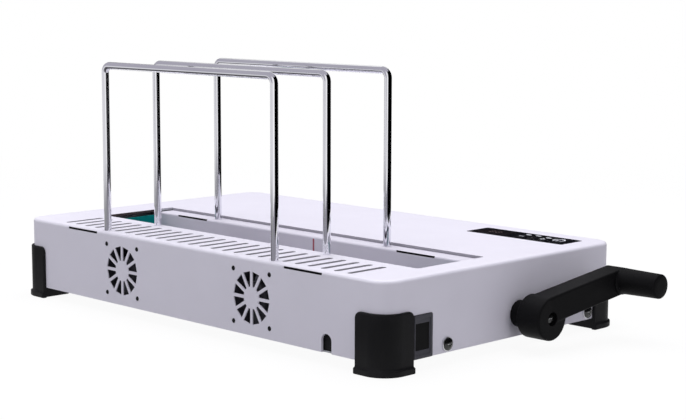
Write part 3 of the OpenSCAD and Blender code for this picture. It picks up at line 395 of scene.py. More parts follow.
def fibre_finish(name, colour, dark):
    """Pressed fibre: short flecks of a darker tone and a dry, rough face."""
    look = Look(name)
    fleck = look.noise(1.4, 4, (0.25, 1, 1)).between(0.55, 0.68)
    tone = look.blend(colour, dark, fleck * 0.7 + look.noise(16, 3) * 0.2)
    return look.close(Base_Color=tone, Roughness=0.78 + fleck * 0.1, Normal=look.bump(fleck, 0.06))


def ink_finish(name, colour, glow=0.0):
    """Screen-printed ink: slightly uneven cover, half matt; glow makes it shine by itself, a painted light.
    """
    look = Look(name)
    cover = look.noise(1.5, 3)
    tone = look.blend(colour, tuple(c * 0.8 for c in colour), cover)
    return look.close(Base_Color=tone, Roughness=0.4 + cover * 0.15, Normal=look.bump(cover, 0.01),
                      Emission_Color=tone, Emission_Strength=glow)


board_green = board_finish("board_green")
heater_foil = foil_finish("heater_foil")
fibre_board = fibre_finish("fibre_board", tint(214, 202, 172), tint(150, 132, 98))
parts_mix = fibre_finish("parts_mix", tint(92, 84, 62), tint(34, 32, 30))
thermostat_brown = moulded_finish("thermostat_brown", tint(60, 52, 46), 0.5)
ink_red = ink_finish("ink_red", tint(176, 78, 92))
# Painted light: the pale and dim inks glow a little, which brightens the signs, digits and panel lamps.
pale_ink_painted_glow = ink_finish("pale_ink_painted_glow", tint(226, 228, 236), 0.2)
dim_ink_painted_glow = ink_finish("dim_ink_painted_glow", tint(92, 72, 70), 0.1)
print("all finishes:", len(bpy.data.materials))

# %% [markdown]
# ## Finishes for the model's own pieces
# The packed record sorts every node into a material slot. One table turns slots into finishes, so a
# node that keeps its own mesh gets its finish here, and no node is forgotten.

# %% Dress the nodes
FINISHES = {
    "casing_white": paint_white, "pan_steel": zinc_sheet, "foot_rubber": foot_rubber,
    "black_screws": screw_black, "zinc_screws": zinc_plate, "bar_chrome": bar_chrome,
    "clamp_paint": paint_clamp, "rod_steel": ground_steel, "gear_steel": cut_steel,
    "bush_bronze": bronze, "heater_metal": milled_alloy, "element_foil": heater_foil,
    "insulation": fibre_board, "thermostat_body": thermostat_brown, "guide_teal": paint_teal,
    "fan_plastic": fan_black, "crank_plastic": crank_black, "inlet_plastic": inlet_grey,
    "pin_metal": pin_metal, "loom_black": loom_sleeve, "panel_gloss": panel_gloss,
    "window_smoke": window_smoke, "key_black": key_gloss, "board_green": board_green,
    "part_mix": parts_mix,
}
SLOT_OF = {part["node"]: part["material_slot"] for part in frame["record"]["subparts"]}


def wear(thing, finish):
    """Gives an object one finish in place of what it had."""
    thing.data.materials.clear()
    thing.data.materials.append(finish)


for node_name, node in frame["nodes"].items():
    wear(node, FINISHES[SLOT_OF[node_name]])
print("finishes on nodes:", len(FINISHES))

# %% [markdown]
# ## Outlines
# Most pieces of the machine are a flat outline with thickness and soft edges: a foot's pad, the
# crank's arm, a key. An outline is a ring of points. Corners are arcs, so every outline is smooth
# enough to be drawn in or out by a fixed distance.


# %% Outline helpers
def rounded(corners, radii, steps=10):
    """A polygon whose corner k is an arc of radii[k]: centre + r (cos t, sin t), tangent to both edges."""
    pts, ring = np.asarray(corners, float), []
    for k in range(len(pts)):
        p, a, b = pts[k], pts[k - 1] - pts[k], pts[(k + 1) % len(pts)] - pts[k]
        a, b = a / np.linalg.norm(a), b / np.linalg.norm(b)
        half = math.acos(np.clip(a @ b, -1, 1)) / 2
        centre = p + (a + b) / np.linalg.norm(a + b) * radii[k] / math.sin(half)
        t0, t1 = [math.atan2(*(p + e * radii[k] / math.tan(half) - centre)[::-1]) for e in (a, b)]
        t = t0 + ((t1 - t0 + math.pi) % (2 * math.pi) - math.pi) * np.linspace(0, 1, steps)
        ring.append(centre + radii[k] * np.column_stack([np.cos(t), np.sin(t)]))
    return np.vstack(ring)


def oblong(length, width, radius, steps=10, at=(0, 0)):
    """A rectangle with round corners, centred on at."""
    a, b = length / 2, width / 2
    box = [(a, b), (-a, b), (-a, -b), (a, -b)]
    return rounded(box, [radius] * 4, steps) + np.array(at)


def circle(radius, steps=48, at=(0, 0)):
    """A ring of points at one radius."""
    t = np.arange(steps) * 2 * math.pi / steps
    return radius * np.column_stack([np.cos(t), np.sin(t)]) + np.array(at)


def drawn_in(ring, distance):
    """The ring moved inwards along its normals: p + n d, with n from the neighbours' chord."""
    chord = np.roll(ring, -1, 0) - np.roll(ring, 1, 0)
    area = np.sum(ring[:, 0] * np.roll(ring[:, 1], -1) - ring[:, 1] * np.roll(ring[:, 0], -1))
    n = np.column_stack([-chord[:, 1], chord[:, 0]]) * np.sign(area)
    return ring + n / np.linalg.norm(n, axis=1, keepdims=True) * distance


# %% [markdown]
# ## From rings to solids
# A solid is a stack of rings: each ring is the outline, drawn in by some distance and lifted to some
# height. Soft edges are a quarter circle of such steps. The last ring at each end closes with one
# flat face. The solid's volume tells whether its faces point outwards, and they are turned if not.


# %% Ring stacks
def stack(ring, profile):
    """Rings (k, n, 3) from (inset, height) pairs: ring drawn in by inset, at height."""
    return np.stack([np.column_stack([drawn_in(ring, d) if d else ring, np.full(len(ring), h)])
                     for d, h in profile])


def soft_edge(low, high, r_low, r_high, steps=4):
    """(inset, height) pairs from low to high with quarter circles r (1 - cos t), r (1 - sin t)."""
    t = np.linspace(0, math.pi / 2, steps + 1)
    foot, head = t if r_low else t[:1], t[::-1] if r_high else t[:1]
    return ([(r_low * (1 - math.sin(a)), low + r_low * (1 - math.cos(a))) for a in foot]
            + [(r_high * (1 - math.sin(a)), high - r_high * (1 - math.cos(a))) for a in head])


def spun(profile, steps=48):
    """Rings of a turned form from (radius, height) pairs."""
    return np.stack([np.column_stack([circle(r, steps), np.full(steps, h)]) for r, h in profile])


def ring_faces(k, n, start=0, caps=True):
    """Quads between k rings of n points, and a flat face on each end."""
    i, j = np.meshgrid(np.arange(k - 1), np.arange(n), indexing="ij")
    a, b = i * n + j, i * n + (j + 1) % n
    quads = (np.stack([a, b, b + n, a + n], -1).reshape(-1, 4) + start).tolist()
    ends = [list(range(start + n - 1, start - 1, -1)), list(range(start + (k - 1) * n, start + k * n))]
    return quads + (ends if caps else [])


def outwards(rings, faces):
    """Turns every face round if the volume, a sum of a . (b x c) / 6 over walls and ends, is negative."""
    a, b = rings[:-1], np.roll(rings, -1, 1)[:-1]
    c, d = np.roll(rings, -1, 1)[1:], rings[1:]
    low, high = rings[0, ::-1], rings[-1]
    total = sum(np.sum(p * np.cross(q, r)) for p, q, r in (
        (a, b, c), (a, c, d), (low[:1], low[1:-1], low[2:]), (high[:1], high[1:-1], high[2:])))
    return faces if total > 0 else [face[::-1] for face in faces]


print("faces of a soft-edged plate:", len(ring_faces(len(soft_edge(0, 3, 0.5, 0.5)), len(oblong(20, 20, 5)))))

# %% [markdown]
# ## Pieces
# A piece is one or more stacks in one mesh. It's smooth where faces meet gently and sharp at folds.
# Every piece rides on one of the model's bodies and moves with it. Where it shows what a node of the
# model shows, it stands in for that node.


# %% Meshes and pieces
def placed(name, points, faces):
    """A new object in the scene, from points in metres."""
    data = bpy.data.meshes.new(name)
    data.from_pydata(np.asarray(points, float).tolist(), [], faces)
    data.update()
    thing = bpy.data.objects.new(name, data)
    bpy.context.scene.collection.objects.link(thing)
    return thing


class Build:
    """Collects closed ring stacks into one mesh, in drawing millimetres."""

    def __init__(self):
        self.points, self.faces, self.count = [], [], 0

    def add(self, rings, frame_of=None):
        """Adds a stack; frame_of(points) may turn it into place first."""
        k, n, _ = rings.shape
        points = rings.reshape(-1, 3)
        points = points if frame_of is None else frame_of(points)
        faces = outwards(points.reshape(k, n, 3), ring_faces(k, n))
        self.faces += [[v + self.count for v in face] for face in faces]
        self.points.append(points)
        self.count += len(points)
        return self

    def thing(self, name):
        """An object of all the stacks."""
        return placed(name, metres(np.vstack(self.points)), self.faces)

    def piece(self, name, finish, body="base", slot=None, stands_for=()):
        """Puts the stacks in the scene as a piece that rides on a body."""
        return settle(self.thing(name), finish, body, stands_for)


def settle(thing, finish, body, stands_for=()):
    """Smooth faces with sharp folds over 38 degrees, a finish, a body to ride on and what it replaces."""
    thing.data.shade_smooth()
    thing.data.set_sharp_from_angle(angle=math.radians(38))
    wear(thing, finish)
    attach(thing, body)
    if stands_for:
        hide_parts(*stands_for)
    return thing


# %% [markdown]
# ## Turns
# Outlines are drawn flat, and many of them belong on a wall. A turn takes flat points with a height
# and gives points in the drawing, with the height square to that wall. It keeps lengths, so a screw
# drawn on paper is the same screw in the wall.


# %% Turns
def end_on(x0, y0, z0, tilt=0.0):
    """A turn for pieces that point out of the crank wall: height to +X, first axis down, second to +Y."""
    c, s = math.cos(math.radians(tilt)), math.sin(math.radians(tilt))

    def turn_points(p):
        u, v, h = p[:, 0] * c - p[:, 1] * s, p[:, 0] * s + p[:, 1] * c, p[:, 2]
        return np.column_stack([x0 + h, y0 + v, z0 - u])
    return turn_points


def wall_on(x0, y0, z0):
    """A turn for pieces in the fan wall: first axis to +X, second up, height to +Y."""
    return lambda p: np.column_stack([x0 + p[:, 0], y0 + p[:, 2], z0 + p[:, 1]])


def side_on(side, y0, z0):
    """A turn for pieces in an end wall (side -1 or 1): first axis to +Y, second up, height outwards."""
    return lambda p: np.column_stack([side * (LONG / 2 + p[:, 2]), y0 + p[:, 0], z0 + p[:, 1]])


def along_trough(p):
    """A turn for long sheets: outline in y and z, height to +X."""
    return np.column_stack([p[:, 2], p[:, 0], p[:, 1]])


print("5 mm out of the right end wall:", side_on(1, 0, 0)(np.array([[0, 0, 5.0]]))[0].round(1))

# %% [markdown]
# ## Cuts and soft edges
# Holes in sheet are punched, and here they are cut: the solids of a cutter are taken out of a piece.
# A narrow bevel then softens what was cut. Modifiers do both, and they are applied at once, so the
# next cut starts from a plain mesh.


# %% Modifiers
def finished(thing, *modifiers):
    """Adds modifiers as (type, settings), applies them all and clears them from the piece."""
    for kind, settings in modifiers:
        made = thing.modifiers.new(kind.lower(), kind)
        for key, value in settings.items():
            setattr(made, key, value)
    bpy.context.view_layer.update()
    shape = bpy.data.meshes.new_from_object(thing.evaluated_get(bpy.context.evaluated_depsgraph_get()))
    thing.modifiers.clear()
    old, thing.data = thing.data, shape
    bpy.data.meshes.remove(old)
    return thing


def flat_shading(thing):
    """Gives each corner the normal of the large faces round it, so flat sheet stays evenly lit."""
    return finished(thing, ("WEIGHTED_NORMAL", {"keep_sharp": True, "weight": 80}))


def cut(thing, cutter, bevel_mm=0.3, steps=2):
    """Takes the cutter's solids out of the thing, then softens the new edges by bevel_mm."""
    tool = cutter.thing("cutter")
    changes = [("BOOLEAN", {"operation": "DIFFERENCE", "solver": "EXACT", "use_self": True, "object": tool})]
    if bevel_mm:
        changes.append(("BEVEL", {"width": bevel_mm / 1000, "segments": steps, "limit_method": "ANGLE",
                                  "angle_limit": math.radians(42)}))
    finished(thing, *changes)
    bpy.data.objects.remove(tool)
    return thing


print("helpers ready")

# %% [markdown]
# ## The cover
# The real cover is one folded sheet: round upright corners, a softly bent top edge and open below.
# It's built as one stack of rings, up the inside, round the rim and up the outside. Then its
# openings are cut: the trough, the cooling slots, two fan grilles, the panel's pocket, the holes for
# rests, shaft, inlet and screws. A narrow bevel on the grilles and the smaller holes and slots in the walls
# catches the light as paint does.

# %% Cover: measurements
WALL, CORNER, EDGE = 2.5, 19.0, 3.5
TROUGH_X, TROUGH_Y = (-222.0, 241.5), (-93.0, -2.0)
VENTS, VENT_LONG, VENT_WIDE, VENT_Y = np.linspace(-206.5, 216.0, 26), 46.6, 6.0, -131.1
SCREWS_Y, SCREW_Z, SHAFT_Z, LEG_HOLE = (-84.3, 119.5), 8, 21.6, 3.75
fan_spots = [centre(node_name)[0] for node_name in ("fan_frame_left", "fan_frame_right")]
fan_height = centre("fan_frame_left")[2]
leg_spots = {}
for node_name in ("rest_bar_rear", "rest_bar_middle", "rest_bar_clamp"):
    low, high = drawn(node_name)
    r = (high[1] - low[1]) / 2
    leg_spots[node_name] = [(low[0] + r, low[1] + r), (high[0] - r, low[1] + r)]
panel_mid, inlet_mid = centre("panel_plate"), centre("power_inlet")
shaft_y = centre("wall_bush")[1]
print("fans at", np.round(fan_spots, 1), "panel at", np.round(panel_mid, 1))


def grille_opening(k, rim_r=25.4, hub_r=10.5, half=1.5):
    """One of twelve openings: sides half a spoke from two radii, a straight rim, an arc at the hub."""
    t0, t1 = math.radians(k * 30), math.radians(k * 30 + 30)
    t = np.linspace(t1 - math.asin(half / hub_r), t0 + math.asin(half / hub_r), 5)
    out = np.array([math.cos((t0 + t1) / 2), math.sin((t0 + t1) / 2)])
    far = []
    for edge, s in ((t0, half), (t1, -half)):
        along = np.array([math.cos(edge), math.sin(edge)])
        side = np.array([-along[1], along[0]]) * s
        far.append(side + along * (rim_r * math.cos(math.radians(15)) - side @ out) / (along @ out))
    return np.vstack([far, hub_r * np.column_stack([np.cos(t), np.sin(t)])])


def bend_slots(cutter, spots, y, z, tall, strip_low):
    """Adds slots 50 mm long to the cutter and gives the dark strips that lie in them as painted shade."""
    strips = Build()
    for x in spots:
        cutter.add(stack(oblong(50, tall, 0.3, 5), [(0, -4), (0, 1.6)]), wall_on(x, y, z))
        strips.add(stack(oblong(49.9, tall - 0.04, 0.28, 5), [(0, strip_low), (0, 1.58)]), wall_on(x, y, z))
    return strips


# %% Cover: shell and cuts
outside = oblong(LONG, DEEP, CORNER, 14)
inside = oblong(LONG - 2 * WALL, DEEP - 2 * WALL, CORNER - WALL, 14)
rim = [(0.5, 0.0), (0.15, 0.15), (0.0, 0.5)]
roof = TALL - WALL
shell = np.concatenate([stack(inside, [(1.0, roof), (0.3, roof - 0.3), (0, roof - 1.0), (0, 0.0)]),
                        stack(outside, rim + soft_edge(0.5, TALL, 0, EDGE, 7)[1:])])
cover = Build().add(shell).piece("cover", paint_white, "base", "casing_white", ["top_casing"])
cuts = Build()
through = [(0, roof - 3), (0, TALL + 3)]
cuts.add(stack(oblong(*np.diff([TROUGH_X, TROUGH_Y])[:, 0], 2, 8, np.mean([TROUGH_X, TROUGH_Y], 1)), through))
for spot in leg_spots["rest_bar_rear"] + leg_spots["rest_bar_middle"]:
    cuts.add(stack(circle(LEG_HOLE, 32, spot), through))
for x in fan_spots:
    cuts.add(stack(circle(27.5, 64), [(0, 1.1), (0, 4)]), wall_on(x, -DEEP / 2, fan_height))
cuts.add(stack(oblong(122.6, 35.0, 2.2, 6, panel_mid[:2]), [(0, TALL - 1.2), (0, TALL + 3)]))
cuts.add(stack(oblong(116, 28.4, 2, 6, panel_mid[:2]), [(0, TALL - 5), (0, TALL - 1.19)]))
cover = cut(cover, cuts, 0)
cuts = Build()
for x in fan_spots:
    for k in range(12):
        cuts.add(stack(grille_opening(k), [(0, -4), (0, 1.8)]), wall_on(x, -DEEP / 2, fan_height))
    for sx, sz in ((-25, -25), (-25, 25), (25, -25), (25, 25)):
        cuts.add(stack(circle(2.1, 20), [(0, -4), (0, 7)]), wall_on(x + sx, -DEEP / 2, fan_height + sz))
# Painted shade: black strips sit in the two bend slots of the fan wall.
slots = bend_slots(cuts, (-166.5, 166.5), -DEEP / 2, TALL - 2.9, 2.2, 0.6)
arch = rounded([(6.5, -5), (6.5, 17.5), (-6.5, 17.5), (-6.5, -5)], [0.1, 6.49, 6.49, 0.1], 8)
cuts.add(stack(arch, [(0, -4), (0, 4)]), wall_on(centre("notch_grommet")[0], -DEEP / 2, 0))
cuts.add(stack(oblong(31.2, 20.8, 1, 4), [(0, -6), (0, 4)]), end_on(LONG / 2, inlet_mid[1], inlet_mid[2]))
cuts.add(stack(circle(9.1, 40), [(0, -6), (0, 4)]), end_on(LONG / 2, shaft_y, SHAFT_Z))
for side in (-1, 1):
    for y in SCREWS_Y:
        cuts.add(stack(circle(2.2, 20), [(0, -6), (0, 6)]), side_on(side, y, SCREW_Z))
cover = cut(cover, cuts, 0.25)
cuts = Build()
for x in VENTS:
    cuts.add(stack(oblong(VENT_WIDE, VENT_LONG, VENT_WIDE / 2 - 0.01, 7, (x, VENT_Y)), through))
settle(cut(cover, cuts, 0), paint_white, "base", ["top_casing"])
flat_shading(cover)

# %% Cover: painted shade on the cut edges
for finish in (edge_painted_shade, slot_painted_shade, trough_end_painted_shade):
    cover.data.materials.append(finish)
middles, upright = np.zeros((2, len(cover.data.polygons), 3))
cover.data.polygons.foreach_get("center", middles.ravel())
cover.data.polygons.foreach_get("normal", upright.ravel())
middles = (middles - ORIGIN) * 1000
# Painted shade: upright faces cut through the top take darker colours, paler in the cooling slots and darkest
# at the trough's left end.
edge = (np.abs(upright[:, 2]) < 0.5) & (middles[:, 2] > roof) & (np.abs(middles[:, 1] + 78) < 78)
edge &= np.abs(middles[:, 0]) < 244
kind = np.where(middles[:, 1] < TROUGH_Y[0] - 2, 2, np.where(middles[:, 0] < TROUGH_X[0] + 1, 3, 1))
cover.data.polygons.foreach_set("material_index", (edge * kind).astype(np.int32))
# Painted shade: black strips for the dark inside behind the bend slots.
slots.piece("cover_slot_painted_shade", black_painted_shade, "base", "foot_rubber")
print("cover faces:", len(cover.data.polygons))

# %% [markdown]
# ## The wire rests
# Each rest is one chromed wire: up, a tight bend, across, a bend and down. A wire is a circle carried
# along a path that lies in one plane, so the circle's own axes are the plane's normal and the
# sideways direction of the path. The third rest is screwed to the clamp and moves with it.


# %% Rests
def bent_wire(node, bend=7.5, steps=36):
    """Circle points c(s) + r (cos t n + sin t e_y) along the path of a node's box."""
    low, high = drawn(node)
    r, y = (high[1] - low[1]) / 2, (low[1] + high[1]) / 2
    x0, x1, top = low[0] + r, high[0] - r, high[2] - r
    t = np.linspace(0, math.pi / 2, 14)
    left = np.column_stack([x0 + bend - bend * np.cos(t), top - bend + bend * np.sin(t)])
    path = np.vstack([[x0, low[2]], [x0, low[2] + 60], left, left[::-1] * [-1, 1] + [x0 + x1, 0],
                      [x1, low[2] + 60], [x1, low[2]]])
    step = np.gradient(path, axis=0)
    side = np.column_stack([-step[:, 1], step[:, 0]]) / np.linalg.norm(step, axis=1, keepdims=True)
    a = np.arange(steps) * 2 * math.pi / steps
    rings = np.zeros((len(path), steps, 3))
    rings[:, :, 0] = path[:, None, 0] + r * np.cos(a) * side[:, None, 0]
    rings[:, :, 1] = y + r * np.sin(a)
    rings[:, :, 2] = path[:, None, 1] + r * np.cos(a) * side[:, None, 1]
    return rings


for node_name in leg_spots:
    wire = Build().add(bent_wire(node_name))
    wire.piece(node_name.replace("bar", "wire"), bar_chrome, "clamp" if "clamp" in node_name else "base",
               "bar_chrome", [node_name])
print("rests:", len(leg_spots))

# %% [markdown]
# ## Rubber feet
# A foot is a rubber skin that wraps a corner of the cover, with a thick square pad below. Unrolled,
# the skin is a flat plate with round upper corners and a bead along its lower edge. So the plate is
# worked out flat, as a height over two parameters, and then rolled round the corner.

# %% Foot skin
SKIN, FLARE, FOOT_TOP, FOOT_LOW, LEG, PAD_LEG = 3.0, 2.0, 44.0, -11.0, 34.0, 32.0
FOOT_ROUND = 6


def foot_skin(sx, sy):
    """Point = corner path at arc length s, pushed out by w(s, z): full in the middle, round at edges."""
    turn_len = CORNER * math.pi / 4
    span, bow = turn_len + LEG - CORNER, FOOT_TOP - FOOT_ROUND
    z = np.concatenate([np.linspace(FOOT_LOW, -4.5, 16), np.linspace(-3, bow, 10),
                        bow + FOOT_ROUND * np.sin(np.linspace(0, math.pi / 2, 13))[1:]])
    over = np.clip((z - bow) / FOOT_ROUND, 0, 1)
    half = span - FOOT_ROUND + FOOT_ROUND * np.sqrt(np.clip(1 - over ** 2, 0, 1))
    u = np.sin(np.linspace(-1, 1, 71) * math.pi / 2)
    u = 0.5 * u + 0.5 * np.linspace(-1, 1, 71)
    s = u[None, :] * half[:, None]
    zz = np.broadcast_to(z[:, None], s.shape)
    corner = np.hypot(np.clip(np.abs(s) - (span - FOOT_ROUND), 0, None), np.clip(zz - bow, 0, None))
    edge = np.where(corner > 0, FOOT_ROUND - corner, FOOT_ROUND)
    edge = np.minimum(edge, np.minimum(span - np.abs(s), FOOT_TOP - zz))
    d = np.clip(edge / 1.3, 0, 1)
    t = np.clip((-4.6 - zz) / 1.4, 0, 1)
    bead = t ** 2 * (3 - 2 * t) * FLARE
    low = np.clip((zz - FOOT_LOW) / 1.0, 0, 1)
    w = (SKIN + bead) - 1.1 * (1 - np.sqrt(1 - (1 - d) ** 2)) - 0.8 * (1 - np.sqrt(1 - (1 - low) ** 2))

    def roll(w):
        angle = math.pi / 4 + np.clip(s, -turn_len, turn_len) / CORNER
        spare = np.sign(s) * np.clip(np.abs(s) - turn_len, 0, None)
        x = LONG / 2 - CORNER + (CORNER + w) * np.cos(angle) - np.where(spare > 0, spare, 0)
        y = DEEP / 2 - CORNER + (CORNER + w) * np.sin(angle) + np.where(spare < 0, spare, 0)
        return np.stack([sx * x, sy * y, zz], -1)
    front, back = roll(w), roll(np.zeros_like(w))
    return np.concatenate([front, back[:, ::-1]], 1)


print("points in a foot's skin:", foot_skin(1, 1)[:, :, 0].size)


# %% Foot pads, and all four feet
def foot_pad(sx, sy):
    """Square pad with the cover's corner on the outside and soft lower edges."""
    a, b, far = LONG / 2, DEEP / 2, 2.2
    corners = [(a - PAD_LEG, b - PAD_LEG), (a + far, b - PAD_LEG), (a + far, b + far), (a - PAD_LEG, b + far)]
    ring = rounded(corners, [3, 1.5, CORNER + far, 1.5], 12) * [sx, sy]
    return stack(ring, soft_edge(FOOT_LOW, 0, 1.2, 0.05))


feet = {"foot_fan_left": (-1, -1), "foot_fan_right": (1, -1),
        "foot_panel_left": (-1, 1), "foot_panel_right": (1, 1)}
for node_name, (sx, sy) in feet.items():
    pad = Build().add(foot_pad(sx, sy)).piece(node_name + "_pad", foot_rubber, "base", "foot_rubber")
    spot = (sx * (LONG / 2 - CORNER), sy * (DEEP / 2 - CORNER))
    well = Build().add(stack(circle(4.9, 32, spot), [(0, FOOT_LOW - 3), (0, FOOT_LOW + 3)]))
    settle(cut(pad, well, 0), foot_rubber, "base")
    skin = Build().add(foot_skin(sx, sy))
    skin.piece(node_name + "_skin", foot_rubber, "base", "foot_rubber", [node_name])
print("feet:", len(feet))

# %% [markdown]
# ## The crank
# The handle is one moulding: a round hub, a flat arm whose top runs straight off the hub, and a
# round grip. Built as three soft-edged solids that overlap, they'd show hard seams, so a voxel
# remesh joins hub and arm into one skin and a few smoothing steps melt the seams.

# %% Crank
AXIS = (LONG / 2, shaft_y, SHAFT_Z)
TILT, HUB, GRIP, RUN, BACK, FRONT, OUT, SEAT = 8.8, 20.3, 12.5, 103.0, 17.5, 40.0, 46.5, 4.0
arm_frame = end_on(*AXIS, TILT)


def arm_rings():
    """Arm outline with a round far end that leans out: z + s (7.5 inside ... 6.5 outside), s = v / run."""
    side = rounded([(2 * GRIP - HUB, 0), (2 * GRIP - HUB, RUN + GRIP), (-HUB, RUN + GRIP), (-HUB, 0)],
                   [0.5, 12.4, 12.4, 0.5], 16)
    body = stack(side, soft_edge(BACK, FRONT, 0.45, 1.6))
    share = (body[:, :, 2] - BACK) / (FRONT - BACK)
    body[:, :, 2] += np.clip(body[:, :, 1] / RUN, 0, 1) * (7.5 * (1 - share) + (OUT - FRONT) * share)
    return body


handle = Build().add(stack(circle(HUB, 96), soft_edge(13.5, FRONT, 1.6, 1.6)), end_on(*AXIS))
handle.add(arm_rings(), arm_frame)
handle = handle.piece("crank_handle", crank_black, "crank", "crank_plastic", ["crank_arm"])
finished(handle, ("REMESH", {"mode": "VOXEL", "voxel_size": 0.0006}),
         ("SMOOTH", {"factor": 0.5, "iterations": 6}))
seat = Build().add(stack(circle(6.5, 40), [(0, FRONT - SEAT), (0, FRONT + SEAT)]), end_on(*AXIS))
settle(cut(handle, seat, 0), crank_black, "crank")
print("crank faces:", len(handle.data.polygons))

# %% Grip and collar
grip_profile = [(11.0, 44.5), (12.3, 44.8), (12.5, 45.3), (12.5, OUT), (12.42, 47.7), (12.3, 50.5),
                (12.05, 62.0), (11.8, 75.0), (11.65, 86.1), (11.5, 86.8), (11.1, 87.3), (10.6, 87.5),
                (5.0, 87.5), (1.0, 87.5)]
grip_rings = spun(grip_profile, 64)
near = np.clip(-grip_rings[:, :, 1] / GRIP, 0, 1) * np.clip(1 - (grip_rings[:, :, 2] - OUT) / 1.8, 0, 1) ** 2
near[[0, -1]] = 0
grip_rings[:, :, :2] *= (1 + near * 1.6 / GRIP)[:, :, None]
Build().add(grip_rings + [GRIP - HUB, RUN, 0], arm_frame).piece(
    "crank_hand_grip", crank_black, "crank", "crank_plastic", ["crank_grip"])
collar = [(9.0, -7.4), (9.0, 0.0), (12.0, 0.0), (12.5, 0.5), (12.5, 12.5), (11.8, 13.2), (6.1, 13.2),
          (6.06, 12.2), (6.06, -7.4)]
rings = spun(collar, 64)
loop = np.array(ring_faces(len(collar) + 1, 64, 0, False)) % (len(collar) * 64)
bush = placed("shaft_collar", metres(end_on(*AXIS)(rings.reshape(-1, 3))), loop.tolist())
settle(bush, crank_black, "base", ["wall_bush"])
print("grip and collar rings:", len(grip_profile), len(collar))

# %% [markdown]
# ## Screws
# Each end wall has two black pan-headed screws on thick bright washers. A head is a turned dome, and
# its cross recess is two crossed slots cut out of it. Two thin bright bars at the bottom of the cross
# are a painted highlight for its glint. The crank's own screw sits deep in its seat.


# %% Screws
def crossed(wide, narrow):
    """The two outlines of a cross."""
    return [oblong(*size, narrow / 4, 4) for size in ((wide, narrow), (narrow, wide))]


def cross_head(name, finish, body, slot, nodes, radius, turn_points, shank):
    """Dome h (1 - (r / R)^2.4) on a shank, minus two crossed slots with sloping ends."""
    height, r = 2.4, np.linspace(1, 0.02, 9) * radius
    dome = [(a, height * (0.25 + 0.75 * (1 - (a / radius) ** 2.4))) for a in r]
    head = Build().add(spun([(2.0, -shank), (2.0, 0), (radius, 0)] + dome, 40), turn_points)
    head = head.piece(name, finish, body, slot, nodes)
    for ring in crossed(radius * 1.15, 1.2):
        slope = np.concatenate([stack(ring * 0.6, [(0, height * 0.3)]), stack(ring, [(0, height * 1.4)])])
        settle(cut(head, Build().add(slope, turn_points), 0.08, 1), finish, body)


def cross_glint_bars(name, body, size, low, high, turn_points):
    """Bright bars at the bottom of a cross recess, from low to high: a painted highlight for its glint."""
    bars = Build()
    for ring in crossed(size, 0.8):
        bars.add(stack(ring, [(0, low), (0, high)]), turn_points)
    bars.piece(name, bright_zinc, body, "zinc_screws")


WASHER = 2.0
washer = [(2.3, 0), (6.3, 0), (6.5, 0.2), (6.5, WASHER - 0.3), (6.2, WASHER), (2.3, WASHER)]
for side, word in ((-1, "left"), (1, "right")):
    for y, where in zip(SCREWS_Y, ("near", "far")):
        out = side_on(side, y, SCREW_Z)
        cross_head(f"wall_screw_{word}_{where}", screw_black, "base", "black_screws",
                   ["casing_screws"], 5.9, lambda p, out=out: out(p + [0, 0, WASHER]), 6)
        # Painted highlight: bright bars in the cross recess.
        cross_glint_bars(f"screw_cross_glint_{word}_{where}", "base", 4.6, 2.6, 3.2, out)
        Build().add(spun(washer, 40), out).piece(f"washer_{word}_{where}", bright_zinc, "base", "zinc_screws")
seat_frame = end_on(AXIS[0] + FRONT - SEAT, AXIS[1], AXIS[2])
cross_head("crank_hub_screw", screw_black, "crank", "black_screws", ["crank_screw"], 5.6, seat_frame, 12)
# Painted highlight: bright bars in the cross recess.
cross_glint_bars("crank_hub_cross_glint", "crank", 3.6, 0.9, 1.4, seat_frame)
print("screws:", 2 * len(SCREWS_Y) + 1)

# %% [markdown]
# ## The clamp and the fixed jaw
# Both are bent sheets as long as the trough. A bent sheet has one section all along, with a larger
# radius outside the bend than inside. Its section is an outline in y and z, and the stack runs
# along x. The clamp's bend has two slots darkened by black strips of painted shade, and its face has one
# short red mark.

# %% Clamp and jaw
clamp_low, clamp_high = drawn("clamp_plate")
(x0, y0, z0), (x1, yf, z1), T = clamp_low, clamp_high, 3.0
section = rounded([(y0, z0), (y0, z1), (yf, z1), (yf, z1 - T), (y0 + T, z1 - T), (y0 + T, z0)],
                  [0.4, 2.4, 0.4, 0.4, 0.8, 0.4], 8)
clamp = Build().add(stack(section, soft_edge(x0, x1, 0.3, 0.3, 2)), along_trough)
clamp = clamp.piece("clamp_sheet", paint_clamp, "clamp", "clamp_paint", ["clamp_plate"])
cuts = Build()
slots = bend_slots(cuts, (-164.0, 169.5), y0, z1 - 1.5, 2.0, 0.9)
for spot in leg_spots["rest_bar_clamp"]:
    cuts.add(stack(circle(LEG_HOLE, 32, spot), [(0, z1 - 5), (0, z1 + 3)]))
for x in (-149.0, 166.0):
    cuts.add(stack(circle(5.4, 32), [(0, -3), (0, 1.25)]), wall_on(x, y0, 46))
settle(cut(clamp, cuts, 0.2), paint_clamp, "clamp")
flat_shading(clamp)
# Painted shade: black strips in the clamp's bend slots.
slots.piece("clamp_slot_painted_shade", black_painted_shade, "clamp", "foot_rubber")
print("clamp faces:", len(clamp.data.polygons))

# %% Jaw, and the mark on the clamp
(x0, back, z0), (x1, face, z1) = drawn("fixed_jaw")
section = rounded([(back, z1), (back, z1 - 1.5), (-78, z1 - 1.5), (-78, z0), (-75, z0), (-75, z1)],
                  [0.3, 0.3, 0.5, 0.3, 0.3, 2.2], 6)
Build().add(stack(section, soft_edge(x0, x1, 0.3, 0.3, 2)), along_trough).piece(
    "jaw_sheet", paint_clamp, "base", "clamp_paint", ["fixed_jaw"])
red = Build().add(stack(oblong(2.2, 13, 0.5, 4), [(0, -0.08), (0, 0.1)]), wall_on(29.5, y0, 61.3))
red.piece("clamp_mark", ink_red, "clamp", "clamp_paint")
print("jaw from y =", round(back, 1), "to", round(face, 1))

